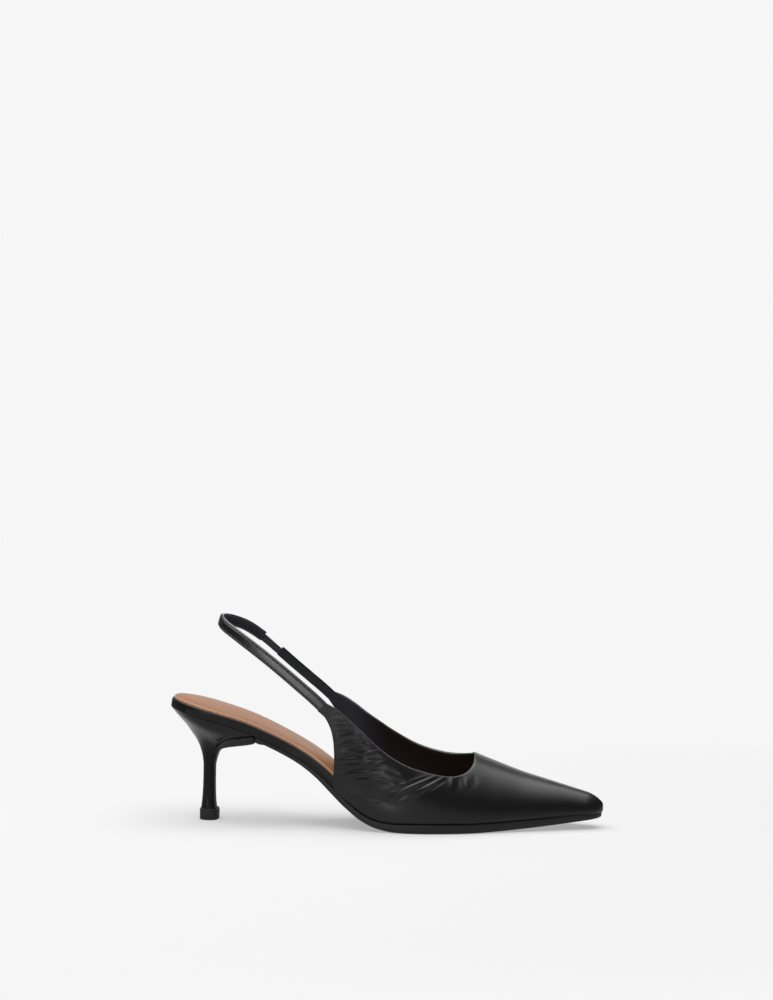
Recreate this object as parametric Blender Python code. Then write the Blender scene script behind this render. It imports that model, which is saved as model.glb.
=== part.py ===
"""Slingback pump: a right shoe with a pointed toe, an elasticated heel strap and a flared stem heel.

X runs to the toe, Y to the medial side and Z up. The origin is on the floor under the heel's stem.
The last gives every shape: its bottom outline, its seat line in side view and its sections across.
The sole parts lie on the seat line, and the upper is a wall of one thickness round the last.
"""

import bmesh
import bpy
import numpy as np

# Driving sizes, in metres
SHOE_LENGTH = 0.24875
HEEL_SETBACK = 0.02365
SEAT_HEIGHT = 0.0660
BALL_WIDTH = 0.0700
VAMP_HEIGHT = 0.0428
TOE_SPRING = 0.0062
TOE_ROUNDING = 0.0080
HEEL_ROUNDING = 0.0250

# Thicknesses of the layers, and the gap that two touching pieces keep
UPPER_WALL = 0.0018
OUTSOLE_THICKNESS = 0.0052
BOARD_THICKNESS = 0.0052
BOARD_FOREFOOT = 0.0024
SOCK_THICKNESS = 0.0010
FIT_GAP = 0.0003

# How far each sole edge stands outside the last's bottom outline
OUTSOLE_LEDGE = 0.0021
OUTSOLE_BEVEL = 0.0018
SOCK_INSET = 0.0012
BOARD_EDGE_ROUNDING = 0.0009
BOARD_THINS = (0.40, 0.52)

# Heel
BREAST_REACH = 0.0285
STEM_BACK = 0.0039
STEM_FRONT = 0.0031
STEM_HALF_WIDTH = 0.0057
HEEL_INSET = 0.0006
TOP_PIECE_HEIGHT = 0.0064
TOP_PIECE_BACK = 0.0057
TOP_PIECE_FRONT = 0.0054
TOP_PIECE_HALF_WIDTH = 0.0076
TOP_PIECE_BEVEL = 0.0006

# Strap
STRAP_WIDTH = 0.0067
STRAP_HEIGHT = 0.1168
STRAP_HALF_SPREAD = 0.0275
STRAP_LEAN = 0.29
ELASTIC_WIDTH = 0.0052
ELASTIC_THICKNESS = 0.0012

# Mesh steps, in shares of the length where they aren't counts, metres or degrees
SLOPE_STEP = 0.002
PATH_STEP = 0.004
PATH_SAMPLES = 200
MERGE = 2e-6
CREASE_ANGLE = 40
GIRTH_WEIGHT = 0.3
THROAT_FOOT = 0.12
STRAP_STEPS = 40
UPPER_ROWS = 9
REAR_COLUMNS = 9
QUARTER_COLUMNS = 24
VAMP_COLUMNS = 20
SOLE_STATIONS = 52
HEEL_RINGS = 22
BACK_SPOKES = 8


def table(columns, rows):
    """A table with named columns, as a dictionary of arrays."""
    return dict(zip(columns.split(), np.array(rows, float).T))


# Seat line in side view, where board and outsole meet: rise is a share of the seat's height over the ball
SEAT_LINE = table(
    "along rise",
    [
        (0.000, 0.994),
        (0.033, 0.968),
        (0.108, 0.889),
        (0.177, 0.807),
        (0.250, 0.685),
        (0.315, 0.551),
        (0.355, 0.439),
        (0.393, 0.304),
        (0.430, 0.179),
        (0.466, 0.080),
        (0.500, 0.0265),
        (0.535, 0.004),
        (0.565, 0.000),
        (1.000, 0.000),
    ],
)
SPRING_START = 0.69
SPRING_POWER = 1.6

# Outsole: thickness as a share of its greatest, and how far its edge stands out as a share of the ledge
OUTSOLE = table(
    "along thick ledge",
    [
        (0.100, 0.42, -0.35),
        (0.310, 0.44, -0.35),
        (0.380, 0.52, 0.00),
        (0.426, 0.58, 0.80),
        (0.475, 0.68, 1.00),
        (0.527, 0.87, 1.00),
        (0.590, 1.00, 1.00),
        (0.660, 1.00, 1.00),
        (0.720, 0.95, 1.00),
        (0.835, 0.87, 0.90),
        (0.925, 0.75, 0.75),
        (1.000, 0.50, 0.45),
    ],
)

# Edge of the outsole from the ground up: share of the bevel that it is tucked in, and share of its depth
SOLE_EDGE = table(
    "tuck down",
    [
        (1.0, 1.00),
        (0.3, 0.78),
        (0.0, 0.50),
        (0.0, 0.00),
    ],
)

# Bottom outline of the last: middle line and half width, as shares of the ball width
OUTLINE = table(
    "along middle half",
    [
        (0.00, 0.000, 0.350),
        (0.10, 0.000, 0.350),
        (0.20, -0.010, 0.310),
        (0.30, -0.030, 0.277),
        (0.36, -0.050, 0.290),
        (0.42, -0.064, 0.334),
        (0.50, -0.058, 0.424),
        (0.56, -0.046, 0.475),
        (0.62, -0.018, 0.497),
        (0.66, 0.004, 0.490),
        (0.70, 0.021, 0.465),
        (0.76, 0.039, 0.397),
        (0.82, 0.045, 0.315),
        (0.88, 0.047, 0.233),
        (0.94, 0.047, 0.153),
        (1.00, 0.045, 0.086),
    ],
)

# Sections of the last: ridge height over the floor as a share of the vamp height, section squareness, and
# how far each side swells past its foot, as shares of the ball width
SECTIONS = table(
    "along ridge square lateral medial",
    [
        (0.33, 2.90, 3.0, 0.020, 0.130),
        (0.39, 2.65, 3.0, 0.020, 0.125),
        (0.42, 2.42, 3.0, 0.022, 0.100),
        (0.45, 2.14, 2.8, 0.024, 0.075),
        (0.50, 1.76, 2.6, 0.026, 0.048),
        (0.56, 1.45, 2.4, 0.024, 0.030),
        (0.62, 1.24, 2.2, 0.020, 0.022),
        (0.66, 1.105, 2.1, 0.018, 0.020),
        (0.70, 1.000, 2.0, 0.016, 0.018),
        (0.76, 0.862, 2.0, 0.012, 0.014),
        (0.82, 0.735, 2.0, 0.010, 0.010),
        (0.88, 0.632, 2.05, 0.008, 0.008),
        (0.94, 0.530, 2.1, 0.006, 0.006),
        (1.00, 0.430, 2.1, 0.004, 0.004),
    ],
)
NOSE_FLATNESS = 0.42

# Topline, from the quarters to the throat: girth is 0 at the sole and 1 on the ridge
THROAT_ALONG = 0.7100
TOPLINE = table(
    "along lateral medial",
    [
        (0.3990, 0.351, 0.366),
        (0.4250, 0.371, 0.398),
        (0.4600, 0.399, 0.443),
        (0.4900, 0.406, 0.472),
        (0.5300, 0.401, 0.486),
        (0.5750, 0.396, 0.489),
        (0.6000, 0.401, 0.496),
        (0.6300, 0.412, 0.525),
        (0.6620, 0.444, 0.592),
        (0.6840, 0.497, 0.668),
        (0.6970, 0.562, 0.742),
        (0.7050, 0.645, 0.850),
        (0.7090, 0.745, 0.920),
        (THROAT_ALONG, 1.000, 1.000),
    ],
)

# Rear edge of each quarter, from the strap down to its foot on the sole; height is a share of the seat height
REAR_EDGE = table(
    "along height",
    [
        (0.3690, 0.971),
        (0.3770, 0.929),
        (0.3850, 0.867),
        (0.3900, 0.805),
        (0.3940, 0.695),
        (0.3950, 0.589),
        (0.3940, 0.488),
        (0.3925, 0.405),
    ],
)
QUARTER_FOOT = 0.3920
BLEND_START = 0.36
BLEND_END = 0.47
BLEND_GIRTH = 0.32

# Middle line of the strap, from the lateral quarter round the heel to the medial quarter
STRAP_PATH = table(
    "along across height broad",
    [
        (0.4050, -1.000, 0.500, 1.00),
        (0.3570, -0.965, 0.608, 1.00),
        (0.3090, -0.915, 0.694, 1.00),
        (0.2540, -0.850, 0.787, 1.00),
        (0.1980, -0.745, 0.874, 1.00),
        (0.1590, -0.600, 0.929, 1.00),
        (0.1270, -0.355, 0.972, 1.00),
        (0.1150, 0.000, 0.992, 1.00),
        (0.1270, 0.340, 0.985, 1.00),
        (0.1600, 0.570, 0.959, 0.98),
        (0.1990, 0.730, 0.905, 0.94),
        (0.2350, 0.800, 0.840, 0.88),
        (0.2720, 0.850, 0.771, 0.86),
        (0.3090, 0.900, 0.704, 0.86),
        (0.3570, 0.950, 0.617, 0.86),
        (0.4050, 0.985, 0.514, 0.88),
    ],
)
LATERAL_SEAM = 0.074
ELASTIC_START = 0.672
ELASTIC_END = 0.735
MEDIAL_ROOT = 0.930
ROOT_COLUMNS = 12

# Heel rings from the top piece up to the seat: how high and how far out its back and its breast have come
HEEL_SHAPE = table(
    "back_rise back_reach breast_rise breast_reach width",
    [
        (0.000, 0.060, 0.000, 0.032, 0.055),
        (0.100, 0.028, 0.130, 0.010, 0.016),
        (0.257, 0.004, 0.340, 0.000, 0.000),
        (0.410, 0.000, 0.540, 0.000, 0.010),
        (0.494, 0.022, 0.640, 0.026, 0.052),
        (0.579, 0.083, 0.730, 0.076, 0.135),
        (0.668, 0.200, 0.803, 0.165, 0.276),
        (0.751, 0.372, 0.834, 0.317, 0.460),
        (0.836, 0.560, 0.855, 0.538, 0.676),
        (0.905, 0.748, 0.876, 0.780, 0.850),
        (0.958, 0.894, 0.905, 0.965, 0.950),
        (1.000, 1.000, 1.000, 1.000, 1.000),
    ],
)
STEM_POWER = 2.6

# Spokes of the heel from its side round to the breast: turn in degrees, and the seat's corner they reach
BREAST_SPOKES = table(
    "turn ahead aside",
    [
        (90, 0.00, 1.00),
        (74, 0.34, 1.00),
        (60, 0.68, 1.00),
        (48, 0.95, 0.99),
        (38, 1.00, 0.93),
        (26, 1.00, 0.62),
        (13, 1.00, 0.31),
        (0, 1.00, 0.00),
    ],
)


def through(xs, ys, x):
    """The smooth curve through the points that never overshoots: cubics with harmonic-mean slopes."""
    step = np.diff(xs)
    slope = np.diff(ys) / step
    before, after = slope[:-1], slope[1:]
    turning = before * after <= 0
    mean = np.where(turning, 0, 2 * before * after / np.where(turning, 1, before + after))
    tangent = np.concatenate([slope[:1], mean, slope[-1:]])
    i = np.clip(np.searchsorted(xs, x) - 1, 0, len(step) - 1)
    t = np.clip((x - xs[i]) / step[i], 0, 1)
    rest = 1 - t
    value = ys[i] * (1 + 2 * t) * rest**2 + ys[i + 1] * (3 - 2 * t) * t**2
    return value + step[i] * (tangent[i] * t * rest**2 - tangent[i + 1] * t**2 * rest)


def eased(t):
    """Smooth step from 0 to 1."""
    t = np.clip(t, 0, 1)
    return t * t * (3 - 2 * t)


def place(along):
    """X of a share of the shoe's length."""
    return along * SHOE_LENGTH - HEEL_SETBACK


def share(x):
    """Share of the shoe's length at x."""
    return (x + HEEL_SETBACK) / SHOE_LENGTH


def outsole_thickness(x):
    """Thickness of the outsole at x."""
    return through(OUTSOLE["along"], OUTSOLE["thick"], share(x)) * OUTSOLE_THICKNESS


def seat_height(x):
    """Height of the seat line: the outsole's top under the ball, raised to the heel and sprung at the toe."""
    along = share(np.asarray(x, float))
    rise = through(SEAT_LINE["along"], SEAT_LINE["rise"], along)
    spring = np.clip((along - SPRING_START) / (1 - SPRING_START), 0, 1) ** SPRING_POWER
    heel_sole = OUTSOLE["thick"][0] * OUTSOLE_THICKNESS
    return outsole_thickness(x) + rise * (SEAT_HEIGHT - heel_sole) + spring * TOE_SPRING


def seat_normal(x):
    """Upward unit normal of the seat line in side view."""
    step = SHOE_LENGTH * SLOPE_STEP
    slope = (seat_height(x + step) - seat_height(x - step)) / (2 * step)
    size = np.sqrt(1 + slope**2)
    return -slope / size, 1 / size


def outline_sides(x):
    """Middle line and half width of the last's bottom at x, before its ends are rounded."""
    along = share(x)
    middle = through(OUTLINE["along"], OUTLINE["middle"], along)
    half = through(OUTLINE["along"], OUTLINE["half"], along)
    return middle * BALL_WIDTH, half * BALL_WIDTH


def toe_rounded(x, grow):
    """1 along the shoe, falling to 0 as a quarter ellipse at the toe of the outline grown by grow."""
    away = np.clip((place(1) + grow - x) / (TOE_ROUNDING + grow), 0, 1)
    return np.sqrt(1 - (1 - away) ** 2)


def heel_rounded(x, grow):
    """The same at the back of the heel."""
    away = np.clip((x - place(0) + grow) / (HEEL_ROUNDING + grow), 0, 1)
    return np.sqrt(1 - (1 - away) ** 2)


def on_seat(x, y, level):
    """Point at a level over the seat line, measured along the seat line's normal."""
    aside, up = seat_normal(x)
    return np.stack([x + aside * level, y + 0 * x, seat_height(x) + up * level], -1)


def thins(x, span):
    """0 behind a span given in shares of the length, and 1 ahead of it."""
    return eased((share(x) - span[0]) / (span[1] - span[0]))


def board_top(x):
    """Level of the insole board's top over the seat line."""
    return BOARD_THICKNESS + (BOARD_FOREFOOT - BOARD_THICKNESS) * thins(x, BOARD_THINS)


def last_side(x, girth, side, grow):
    """Point of the last grown by grow. Height follows a sine of the girth, and the width is a superellipse
    of the height plus the side's swelling; side is -1 for lateral and 1 for medial."""
    along = share(x)
    foot = seat_height(x)
    nose = toe_rounded(x, grow)
    ridge = through(SECTIONS["along"], SECTIONS["ridge"], along) * VAMP_HEIGHT - UPPER_WALL + grow
    ridge = foot + (ridge - foot) * (NOSE_FLATNESS + (1 - NOSE_FLATNESS) * nose)
    rise = np.sin(girth * np.pi / 2)
    power = through(SECTIONS["along"], SECTIONS["square"], along)
    middle, half = outline_sides(x)
    swell_name = "lateral" if side < 0 else "medial"
    swell = through(SECTIONS["along"], SECTIONS[swell_name], along) * BALL_WIDTH
    reach = (half + grow) * (1 - rise**power) ** (1 / power) + swell * np.sin(np.pi * rise)
    return x, middle + side * reach * nose, foot + (ridge - foot) * rise


def girth_at(x, z, grow):
    """Girth share at which the last's section at x reaches the height z."""
    _, _, foot = last_side(x, 0.0, 1, grow)
    _, _, ridge = last_side(x, 1.0, 1, grow)
    return np.arcsin(np.clip((z - foot) / (ridge - foot), 0, 1)) * 2 / np.pi


def strap_point(t):
    """Middle point and width of the strap at shares t of its path, by arc length between the table's rows."""
    points = np.stack(
        [
            place(STRAP_PATH["along"]),
            STRAP_PATH["across"] * STRAP_HALF_SPREAD,
            STRAP_PATH["height"] * STRAP_HEIGHT,
        ],
        -1,
    )
    run = np.concatenate([[0], np.cumsum(np.linalg.norm(np.diff(points, axis=0), axis=1))])
    run /= run[-1]
    t = np.asarray(t, float)
    middle = np.stack([through(run, points[:, k], t) for k in range(3)], -1)
    return middle, through(run, STRAP_PATH["broad"], t) * STRAP_WIDTH


def strap_frame(t):
    """Middle points, vectors across the strap's width, and outward unit normals."""
    t = np.asarray(t, float)
    middle, broad = strap_point(t)
    ahead = strap_point(t + PATH_STEP)[0] - strap_point(t - PATH_STEP)[0]
    ahead /= np.linalg.norm(ahead, axis=-1, keepdims=True)
    lean = np.array([STRAP_LEAN, 0, 1])
    width = lean - (ahead @ lean)[..., None] * ahead
    width /= np.linalg.norm(width, axis=-1, keepdims=True)
    return middle, width * broad[..., None], np.cross(width, ahead)


def strap_side(x, side):
    """Y of the strap's middle line at x, on one side of the heel."""
    rows = slice(0, 8) if side < 0 else slice(7, None)
    along = STRAP_PATH["along"][rows]
    across = STRAP_PATH["across"][rows]
    order = np.argsort(along)
    return through(along[order], across[order], share(x)) * STRAP_HALF_SPREAD


def wall_point(x, girth, side, grow):
    """Point of the upper's wall: the last's side, led over to the strap's line at the top of the quarter."""
    x, y, z = last_side(x, girth, side, grow)
    strap = strap_side(x, side) + side * (grow - UPPER_WALL / 2)
    lead = eased((place(BLEND_END) - x) / (SHOE_LENGTH * (BLEND_END - BLEND_START)))
    lead = lead * eased(girth / BLEND_GIRTH)
    return np.stack([x, y + (strap - y) * lead, z], -1)


def rails(side, grow):
    """Lower and upper edge of one side of the upper, from the strap to the toe, as (x, girth) pairs.
    The lower edge runs down the quarter's rear edge to its foot and then along the sole."""
    root = LATERAL_SEAM if side < 0 else MEDIAL_ROOT
    middle, width, _ = strap_frame(root)
    low, high = middle - width / 2, middle + width / 2
    toe = place(1) + grow
    throat = place(THROAT_ALONG)
    edge_x = np.concatenate([[low[0]], place(REAR_EDGE["along"])])
    edge_z = np.concatenate([[low[2]], REAR_EDGE["height"] * SEAT_HEIGHT])
    edge_girth = np.append(girth_at(edge_x, edge_z, grow), 0)
    edge_x = np.append(edge_x, place(QUARTER_FOOT))
    down = np.linspace(0, 1, REAR_COLUMNS + 1)
    at = np.linspace(0, 1, len(edge_x))
    name = "lateral" if side < 0 else "medial"
    top_x = np.concatenate([[high[0]], place(TOPLINE["along"])])
    top_girth = np.concatenate([[girth_at(high[0], high[2], grow)], TOPLINE[name]])
    run = np.cumsum(np.hypot(np.diff(share(top_x)), np.diff(top_girth) * GIRTH_WEIGHT))
    run = np.concatenate([[0], run / run[-1]])
    on_top = np.linspace(0, 1, REAR_COLUMNS + QUARTER_COLUMNS + 1)
    front = np.linspace(0, 1, QUARTER_COLUMNS + 1)[1:]
    ahead = np.linspace(0, 1, VAMP_COLUMNS + 1)[1:]
    closing = np.sin(ahead * np.pi / 2)
    foot_end = throat + (toe - throat) * THROAT_FOOT
    low_x = np.concatenate(
        [
            through(at, edge_x, down),
            place(QUARTER_FOOT) + (foot_end - place(QUARTER_FOOT)) * front,
            foot_end + (toe - foot_end) * closing,
        ]
    )
    low_girth = np.concatenate([through(at, edge_girth, down), 0 * front, 0 * ahead])
    high_x = np.concatenate([through(run, top_x, on_top), throat + (toe - throat) * closing])
    high_girth = np.concatenate([through(run, top_girth, on_top), 1 + 0 * ahead])
    return low_x, low_girth, high_x, high_girth


def upper_side(side, grow):
    """Grid of one side of the upper, columns from strap to toe and rows from the lower edge to the upper."""
    low_x, low_girth, high_x, high_girth = rails(side, grow)
    t = np.linspace(0, 1, UPPER_ROWS + 1)[None, :]
    x = low_x[:, None] + (high_x - low_x)[:, None] * t
    girth = low_girth[:, None] + (high_girth - low_girth)[:, None] * t
    return wall_point(x, girth, side, grow)


def strap_side_grid(start, end, steps, rows, offset):
    """Grid along the strap between two shares of its path, moved out by offset along its normal."""
    middle, width, normal = strap_frame(np.linspace(start, end, steps + 1))
    across = np.linspace(-0.5, 0.5, rows + 1)[None, :, None]
    return middle[:, None] + width[:, None] * across + normal[:, None] * offset


def sheet(points, faces, grid, flip):
    """Adds a grid of points and its quads to the lists and returns the index of each grid point."""
    rows, columns = grid.shape[:2]
    index = np.arange(rows * columns).reshape(rows, columns) + len(points)
    points.extend(grid.reshape(-1, 3))
    quads = np.stack([index[:-1, :-1], index[1:, :-1], index[1:, 1:], index[:-1, 1:]], -1).reshape(-1, 4)
    faces.extend((quads[:, ::-1] if flip else quads).tolist())
    return index


def strip(faces, one, other, flip):
    """Quads between two lines of point indices."""
    quads = np.stack([one[:-1], one[1:], other[1:], other[:-1]], -1)
    faces.extend((quads[:, ::-1] if flip else quads).tolist())


def solid(name, points, faces, surface):
    """Makes the object, with doubled points merged and its normals pointing out."""
    mesh = bpy.data.meshes.new(name)
    mesh.from_pydata(np.array(points).tolist(), [], faces)
    made = bpy.data.objects.new(name, mesh)
    bpy.context.scene.collection.objects.link(made)
    work = bmesh.new()
    work.from_mesh(mesh)
    bmesh.ops.remove_doubles(work, verts=work.verts, dist=MERGE)
    bmesh.ops.dissolve_degenerate(work, edges=work.edges, dist=MERGE)
    bmesh.ops.recalc_face_normals(work, faces=work.faces)
    if work.calc_volume(signed=True) < 0:
        bmesh.ops.reverse_faces(work, faces=work.faces)
    work.to_mesh(mesh)
    work.free()
    mesh.shade_smooth()
    mesh.set_sharp_from_angle(angle=np.radians(CREASE_ANGLE))
    mesh.materials.append(surface)


def material(name, colour, roughness, metallic=0.0):
    """A Principled BSDF with one colour."""
    made = bpy.data.materials.new(name)
    made.use_nodes = True
    shader = made.node_tree.nodes["Principled BSDF"]
    shader.inputs["Base Color"].default_value = (*colour, 1)
    shader.inputs["Roughness"].default_value = roughness
    shader.inputs["Metallic"].default_value = metallic
    made.diffuse_color = (*colour, 1)
    return made


def make_upper(leather):
    """Vamp and quarters in one wall, with the medial quarter drawn out into the strap's front end."""
    points, faces = [], []
    for side in (-1, 1):
        outer = upper_side(side, UPPER_WALL)
        inner = upper_side(side, 0.0)
        if side > 0:
            roots = [
                strap_side_grid(ELASTIC_END, MEDIAL_ROOT, ROOT_COLUMNS, UPPER_ROWS, away)[:-1]
                for away in (UPPER_WALL / 2, -UPPER_WALL / 2)
            ]
            outer = np.concatenate([roots[0], outer])
            inner = np.concatenate([roots[1], inner])
        out = sheet(points, faces, outer, side > 0)
        within = sheet(points, faces, inner, side < 0)
        strip(faces, out[:, 0], within[:, 0], side < 0)
        strip(faces, out[0], within[0], side > 0)
        open_columns = len(out) - VAMP_COLUMNS
        strip(faces, out[:open_columns, -1], within[:open_columns, -1], side > 0)
    solid("upper", points, faces, leather)


def slab(name, rings, surface, start=None):
    """A layer of the sole: rings of its outline one over another, each a pair of functions of x that give
    how far it is grown and its level. A start cuts the back off upright there."""
    points, faces = [], []
    sides = ([], [])
    shares = (1 - np.cos(np.linspace(0, 1, SOLE_STATIONS + 1) * np.pi)) / 2
    if start is not None:
        shares = np.sin(np.linspace(0, 1, SOLE_STATIONS + 1) * np.pi / 2)
    for grown, level in rings:
        end = place(1) + grown(place(1))
        if start is None:
            back = place(0) - grown(place(0))
        else:
            back = start - seat_normal(start)[0] * level(start)
        x = back + (end - back) * shares
        grow = grown(x)
        middle, half = outline_sides(x)
        wide = (half + grow) * toe_rounded(x, grown(end))
        if start is None:
            wide = wide * heel_rounded(x, grown(back))
        for line, sign in zip(sides, (-1, 1)):
            line.append(on_seat(x, middle + sign * wide, level(x)))
    near = sheet(points, faces, np.array(sides[0]), True)
    far = sheet(points, faces, np.array(sides[1]), False)
    strip(faces, near[0], far[0], False)
    strip(faces, near[-1], far[-1], True)
    strip(faces, near[:, 0], far[:, 0], True)
    solid(name, points, faces, surface)


def always(value):
    """The function of x with one value."""
    return lambda x: value + 0 * x


def over_board(rise):
    """Level that lies a rise over the insole board's top."""
    return lambda x: board_top(x) + rise


def make_outsole(edge):
    """The outsole, with its edge tucked in towards the ground and an upright end at the heel's breast."""

    def ledge(x):
        return through(OUTSOLE["along"], OUTSOLE["ledge"], share(x)) * OUTSOLE_LEDGE

    def down(part):
        return lambda x: FIT_GAP * (part - 1) - outsole_thickness(x) * part

    def tucked(part):
        return lambda x: ledge(x) - OUTSOLE_BEVEL * part * outsole_thickness(x) / OUTSOLE_THICKNESS

    rings = [(tucked(tuck), down(part)) for tuck, part in zip(SOLE_EDGE["tuck"], SOLE_EDGE["down"])]
    slab("outsole", rings, edge, BREAST_REACH + FIT_GAP)


def make_insole(leather, tan):
    """The wrapped insole board, with a rounded upper edge, and the sock lining on it."""
    bend = BOARD_EDGE_ROUNDING
    rings = [(always(-FIT_GAP), always(0))]
    for turn in np.radians([0, 45, 90]):
        inward = bend * (1 - np.cos(turn))
        rings.append((always(-FIT_GAP - inward), over_board(-bend * (1 - np.sin(turn)))))
    slab("insole_board", rings, leather)
    half = SOCK_THICKNESS / 2
    rings = [
        (always(-SOCK_INSET), over_board(FIT_GAP)),
        (always(-SOCK_INSET), over_board(FIT_GAP + half)),
        (always(-SOCK_INSET - half), over_board(FIT_GAP + SOCK_THICKNESS)),
    ]
    slab("sock_lining", rings, tan)


def stem_ring(turn, back, front, half):
    """Superellipse round the stem's axis at the given turns, longer to one side of the axis."""
    ahead, aside = np.cos(turn), np.sin(turn)
    x = np.sign(ahead) * np.abs(ahead) ** (2 / STEM_POWER) * np.where(ahead < 0, back, front)
    return x, half * np.abs(aside) ** (2 / STEM_POWER)


def heel_spokes():
    """Turns from the back of the heel to its breast, and the seat outline's point that each one reaches."""
    back_turn = np.linspace(np.pi, np.pi / 2, BACK_SPOKES + 1)[:-1]
    turn = np.concatenate([back_turn, np.radians(BREAST_SPOKES["turn"])])
    back_x = (place(0) + HEEL_INSET) * np.sin(back_turn - np.pi / 2)
    x = np.concatenate([back_x, BREAST_SPOKES["ahead"] * BREAST_REACH])
    middle, half = outline_sides(x)
    wide = (half - HEEL_INSET) * heel_rounded(x, -HEEL_INSET)
    wide = wide * np.concatenate([1 + 0 * back_x, BREAST_SPOKES["aside"]])
    return turn, x, middle, wide


def closed_loft(name, near, far, surface):
    """Solid between two grids that share their first and last columns, with its two ends closed."""
    points, faces = [], []
    near = sheet(points, faces, near, False)
    far = sheet(points, faces, far, True)
    strip(faces, near[0], far[0], True)
    strip(faces, near[-1], far[-1], False)
    solid(name, points, faces, surface)


def make_heel(plastic):
    """Heel lofted from the stem's ring to the seat's outline."""
    turn, seat_x, seat_middle, seat_wide = heel_spokes()
    stem_x, stem_y = stem_ring(turn, STEM_BACK, STEM_FRONT, STEM_HALF_WIDTH)
    row = np.linspace(0, 1, len(HEEL_SHAPE["width"]))
    rings = np.linspace(0, 1, HEEL_RINGS + 1)
    shape = {name: through(row, HEEL_SHAPE[name], rings)[:, None] for name in HEEL_SHAPE}
    reach = np.where(turn > np.pi / 2, shape["back_reach"], shape["breast_reach"])
    behind = (1 - np.cos(turn)) / 2
    rise = shape["back_rise"] * behind + shape["breast_rise"] * (1 - behind)
    seat = on_seat(seat_x, seat_middle, 0 * seat_x - FIT_GAP)
    foot = TOP_PIECE_HEIGHT + FIT_GAP
    x = stem_x + (seat_x - stem_x) * reach + (seat[:, 0] - seat_x) * rise
    z = foot + (seat[:, 2] - foot) * rise
    wide = stem_y + (seat_wide - stem_y) * shape["width"]
    middle = seat_middle * shape["width"]
    near = np.stack([x, middle - wide, z], -1)
    far = np.stack([x, middle + wide, z], -1)
    closed_loft("heel", near, far, plastic)


def make_top_piece(rubber):
    """Top piece under the stem, with its edges bevelled."""
    turn = heel_spokes()[0]
    bevel = TOP_PIECE_BEVEL
    grid = []
    for level, less in ((0, bevel), (bevel, 0), (TOP_PIECE_HEIGHT - bevel, 0), (TOP_PIECE_HEIGHT, bevel)):
        half = TOP_PIECE_HALF_WIDTH - less
        x, wide = stem_ring(turn, TOP_PIECE_BACK - less, TOP_PIECE_FRONT - less, half)
        grid.append(np.stack([x, wide, 0 * x + level], -1))
    grid = np.array(grid)
    closed_loft("top_piece", grid * [1, -1, 1], grid, rubber)


def band(name, start, end, part, thick, surface):
    """A flat band along the strap's path that takes a part of its width, with its corners taken off."""
    steps = max(3, round(STRAP_STEPS * (end - start)))
    middle, across, normal = strap_frame(np.linspace(start, end, steps + 1))
    deep = thick / 2
    corner = deep / 2
    in_width = corner / STRAP_WIDTH
    wide = part / 2
    profile = [
        (-wide + in_width, -deep),
        (wide - in_width, -deep),
        (wide, -deep + corner),
        (wide, deep - corner),
        (wide - in_width, deep),
        (-wide + in_width, deep),
        (-wide, deep - corner),
        (-wide, -deep + corner),
    ]
    grid = np.stack([middle + across * a + normal * b for a, b in profile + profile[:1]], 1)
    points, faces = [], []
    index = sheet(points, faces, grid, False)
    faces.append(index[0, :-1].tolist())
    faces.append(index[-1, :-1][::-1].tolist())
    solid(name, points, faces, surface)


def make_strap(leather, webbing):
    """Leather strap round the heel, and the elastic between its two ends."""
    length = np.linalg.norm(np.diff(strap_point(np.linspace(0, 1, PATH_SAMPLES))[0], axis=0), axis=1).sum()
    gap = FIT_GAP / length
    band("back_strap", LATERAL_SEAM + gap, ELASTIC_START, 1.0, UPPER_WALL, leather)
    part = ELASTIC_WIDTH / STRAP_WIDTH
    band("strap_elastic", ELASTIC_START + gap, ELASTIC_END - gap, part, ELASTIC_THICKNESS, webbing)


def main():
    for item in list(bpy.data.objects):
        bpy.data.objects.remove(item)
    leather = material("black leather", (0.012, 0.012, 0.013), 0.42)
    tan = material("tan leather", (0.42, 0.19, 0.105), 0.45)
    edge = material("black sole leather", (0.014, 0.013, 0.013), 0.5)
    plastic = material("black heel plastic", (0.008, 0.008, 0.009), 0.2)
    rubber = material("black rubber", (0.015, 0.015, 0.015), 0.7)
    webbing = material("black elastic", (0.012, 0.012, 0.014), 0.85)
    make_upper(leather)
    make_strap(leather, webbing)
    make_outsole(edge)
    make_insole(leather, tan)
    make_heel(plastic)
    make_top_piece(rubber)


main()
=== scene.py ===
"""Slingback pump, as it looks: a right shoe in black calf with a tan sock, standing empty on a pale floor.

The sections follow the shoe as it is put together: the insole board, the upper lasted over it with its
lining, the heel strap with its elastic and stitching, the outsole, the heel, its top piece and the sock.
Lengths are metres. X runs to the toe, Y to the medial side and Z up, from the floor under the heel.
"""

import bpy
import numpy as np
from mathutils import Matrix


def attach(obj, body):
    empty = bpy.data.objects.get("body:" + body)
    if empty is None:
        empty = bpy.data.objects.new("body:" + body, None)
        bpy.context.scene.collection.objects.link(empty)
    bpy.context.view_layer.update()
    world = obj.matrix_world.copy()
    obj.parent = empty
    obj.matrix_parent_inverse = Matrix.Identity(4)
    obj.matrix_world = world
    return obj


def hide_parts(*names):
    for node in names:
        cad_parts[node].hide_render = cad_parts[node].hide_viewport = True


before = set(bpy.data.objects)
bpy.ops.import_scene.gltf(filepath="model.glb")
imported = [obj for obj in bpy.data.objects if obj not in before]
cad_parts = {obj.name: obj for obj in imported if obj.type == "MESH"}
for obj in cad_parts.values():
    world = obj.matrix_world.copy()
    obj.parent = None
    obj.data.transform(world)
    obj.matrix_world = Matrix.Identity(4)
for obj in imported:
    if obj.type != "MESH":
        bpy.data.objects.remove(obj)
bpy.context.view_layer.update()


# Insole board. A stiff board cut to the bottom outline of the last and wrapped in black leather that is
# glued round its edge. It is thick round the seat and the waist, where its edge shows, and thin in front.

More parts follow.
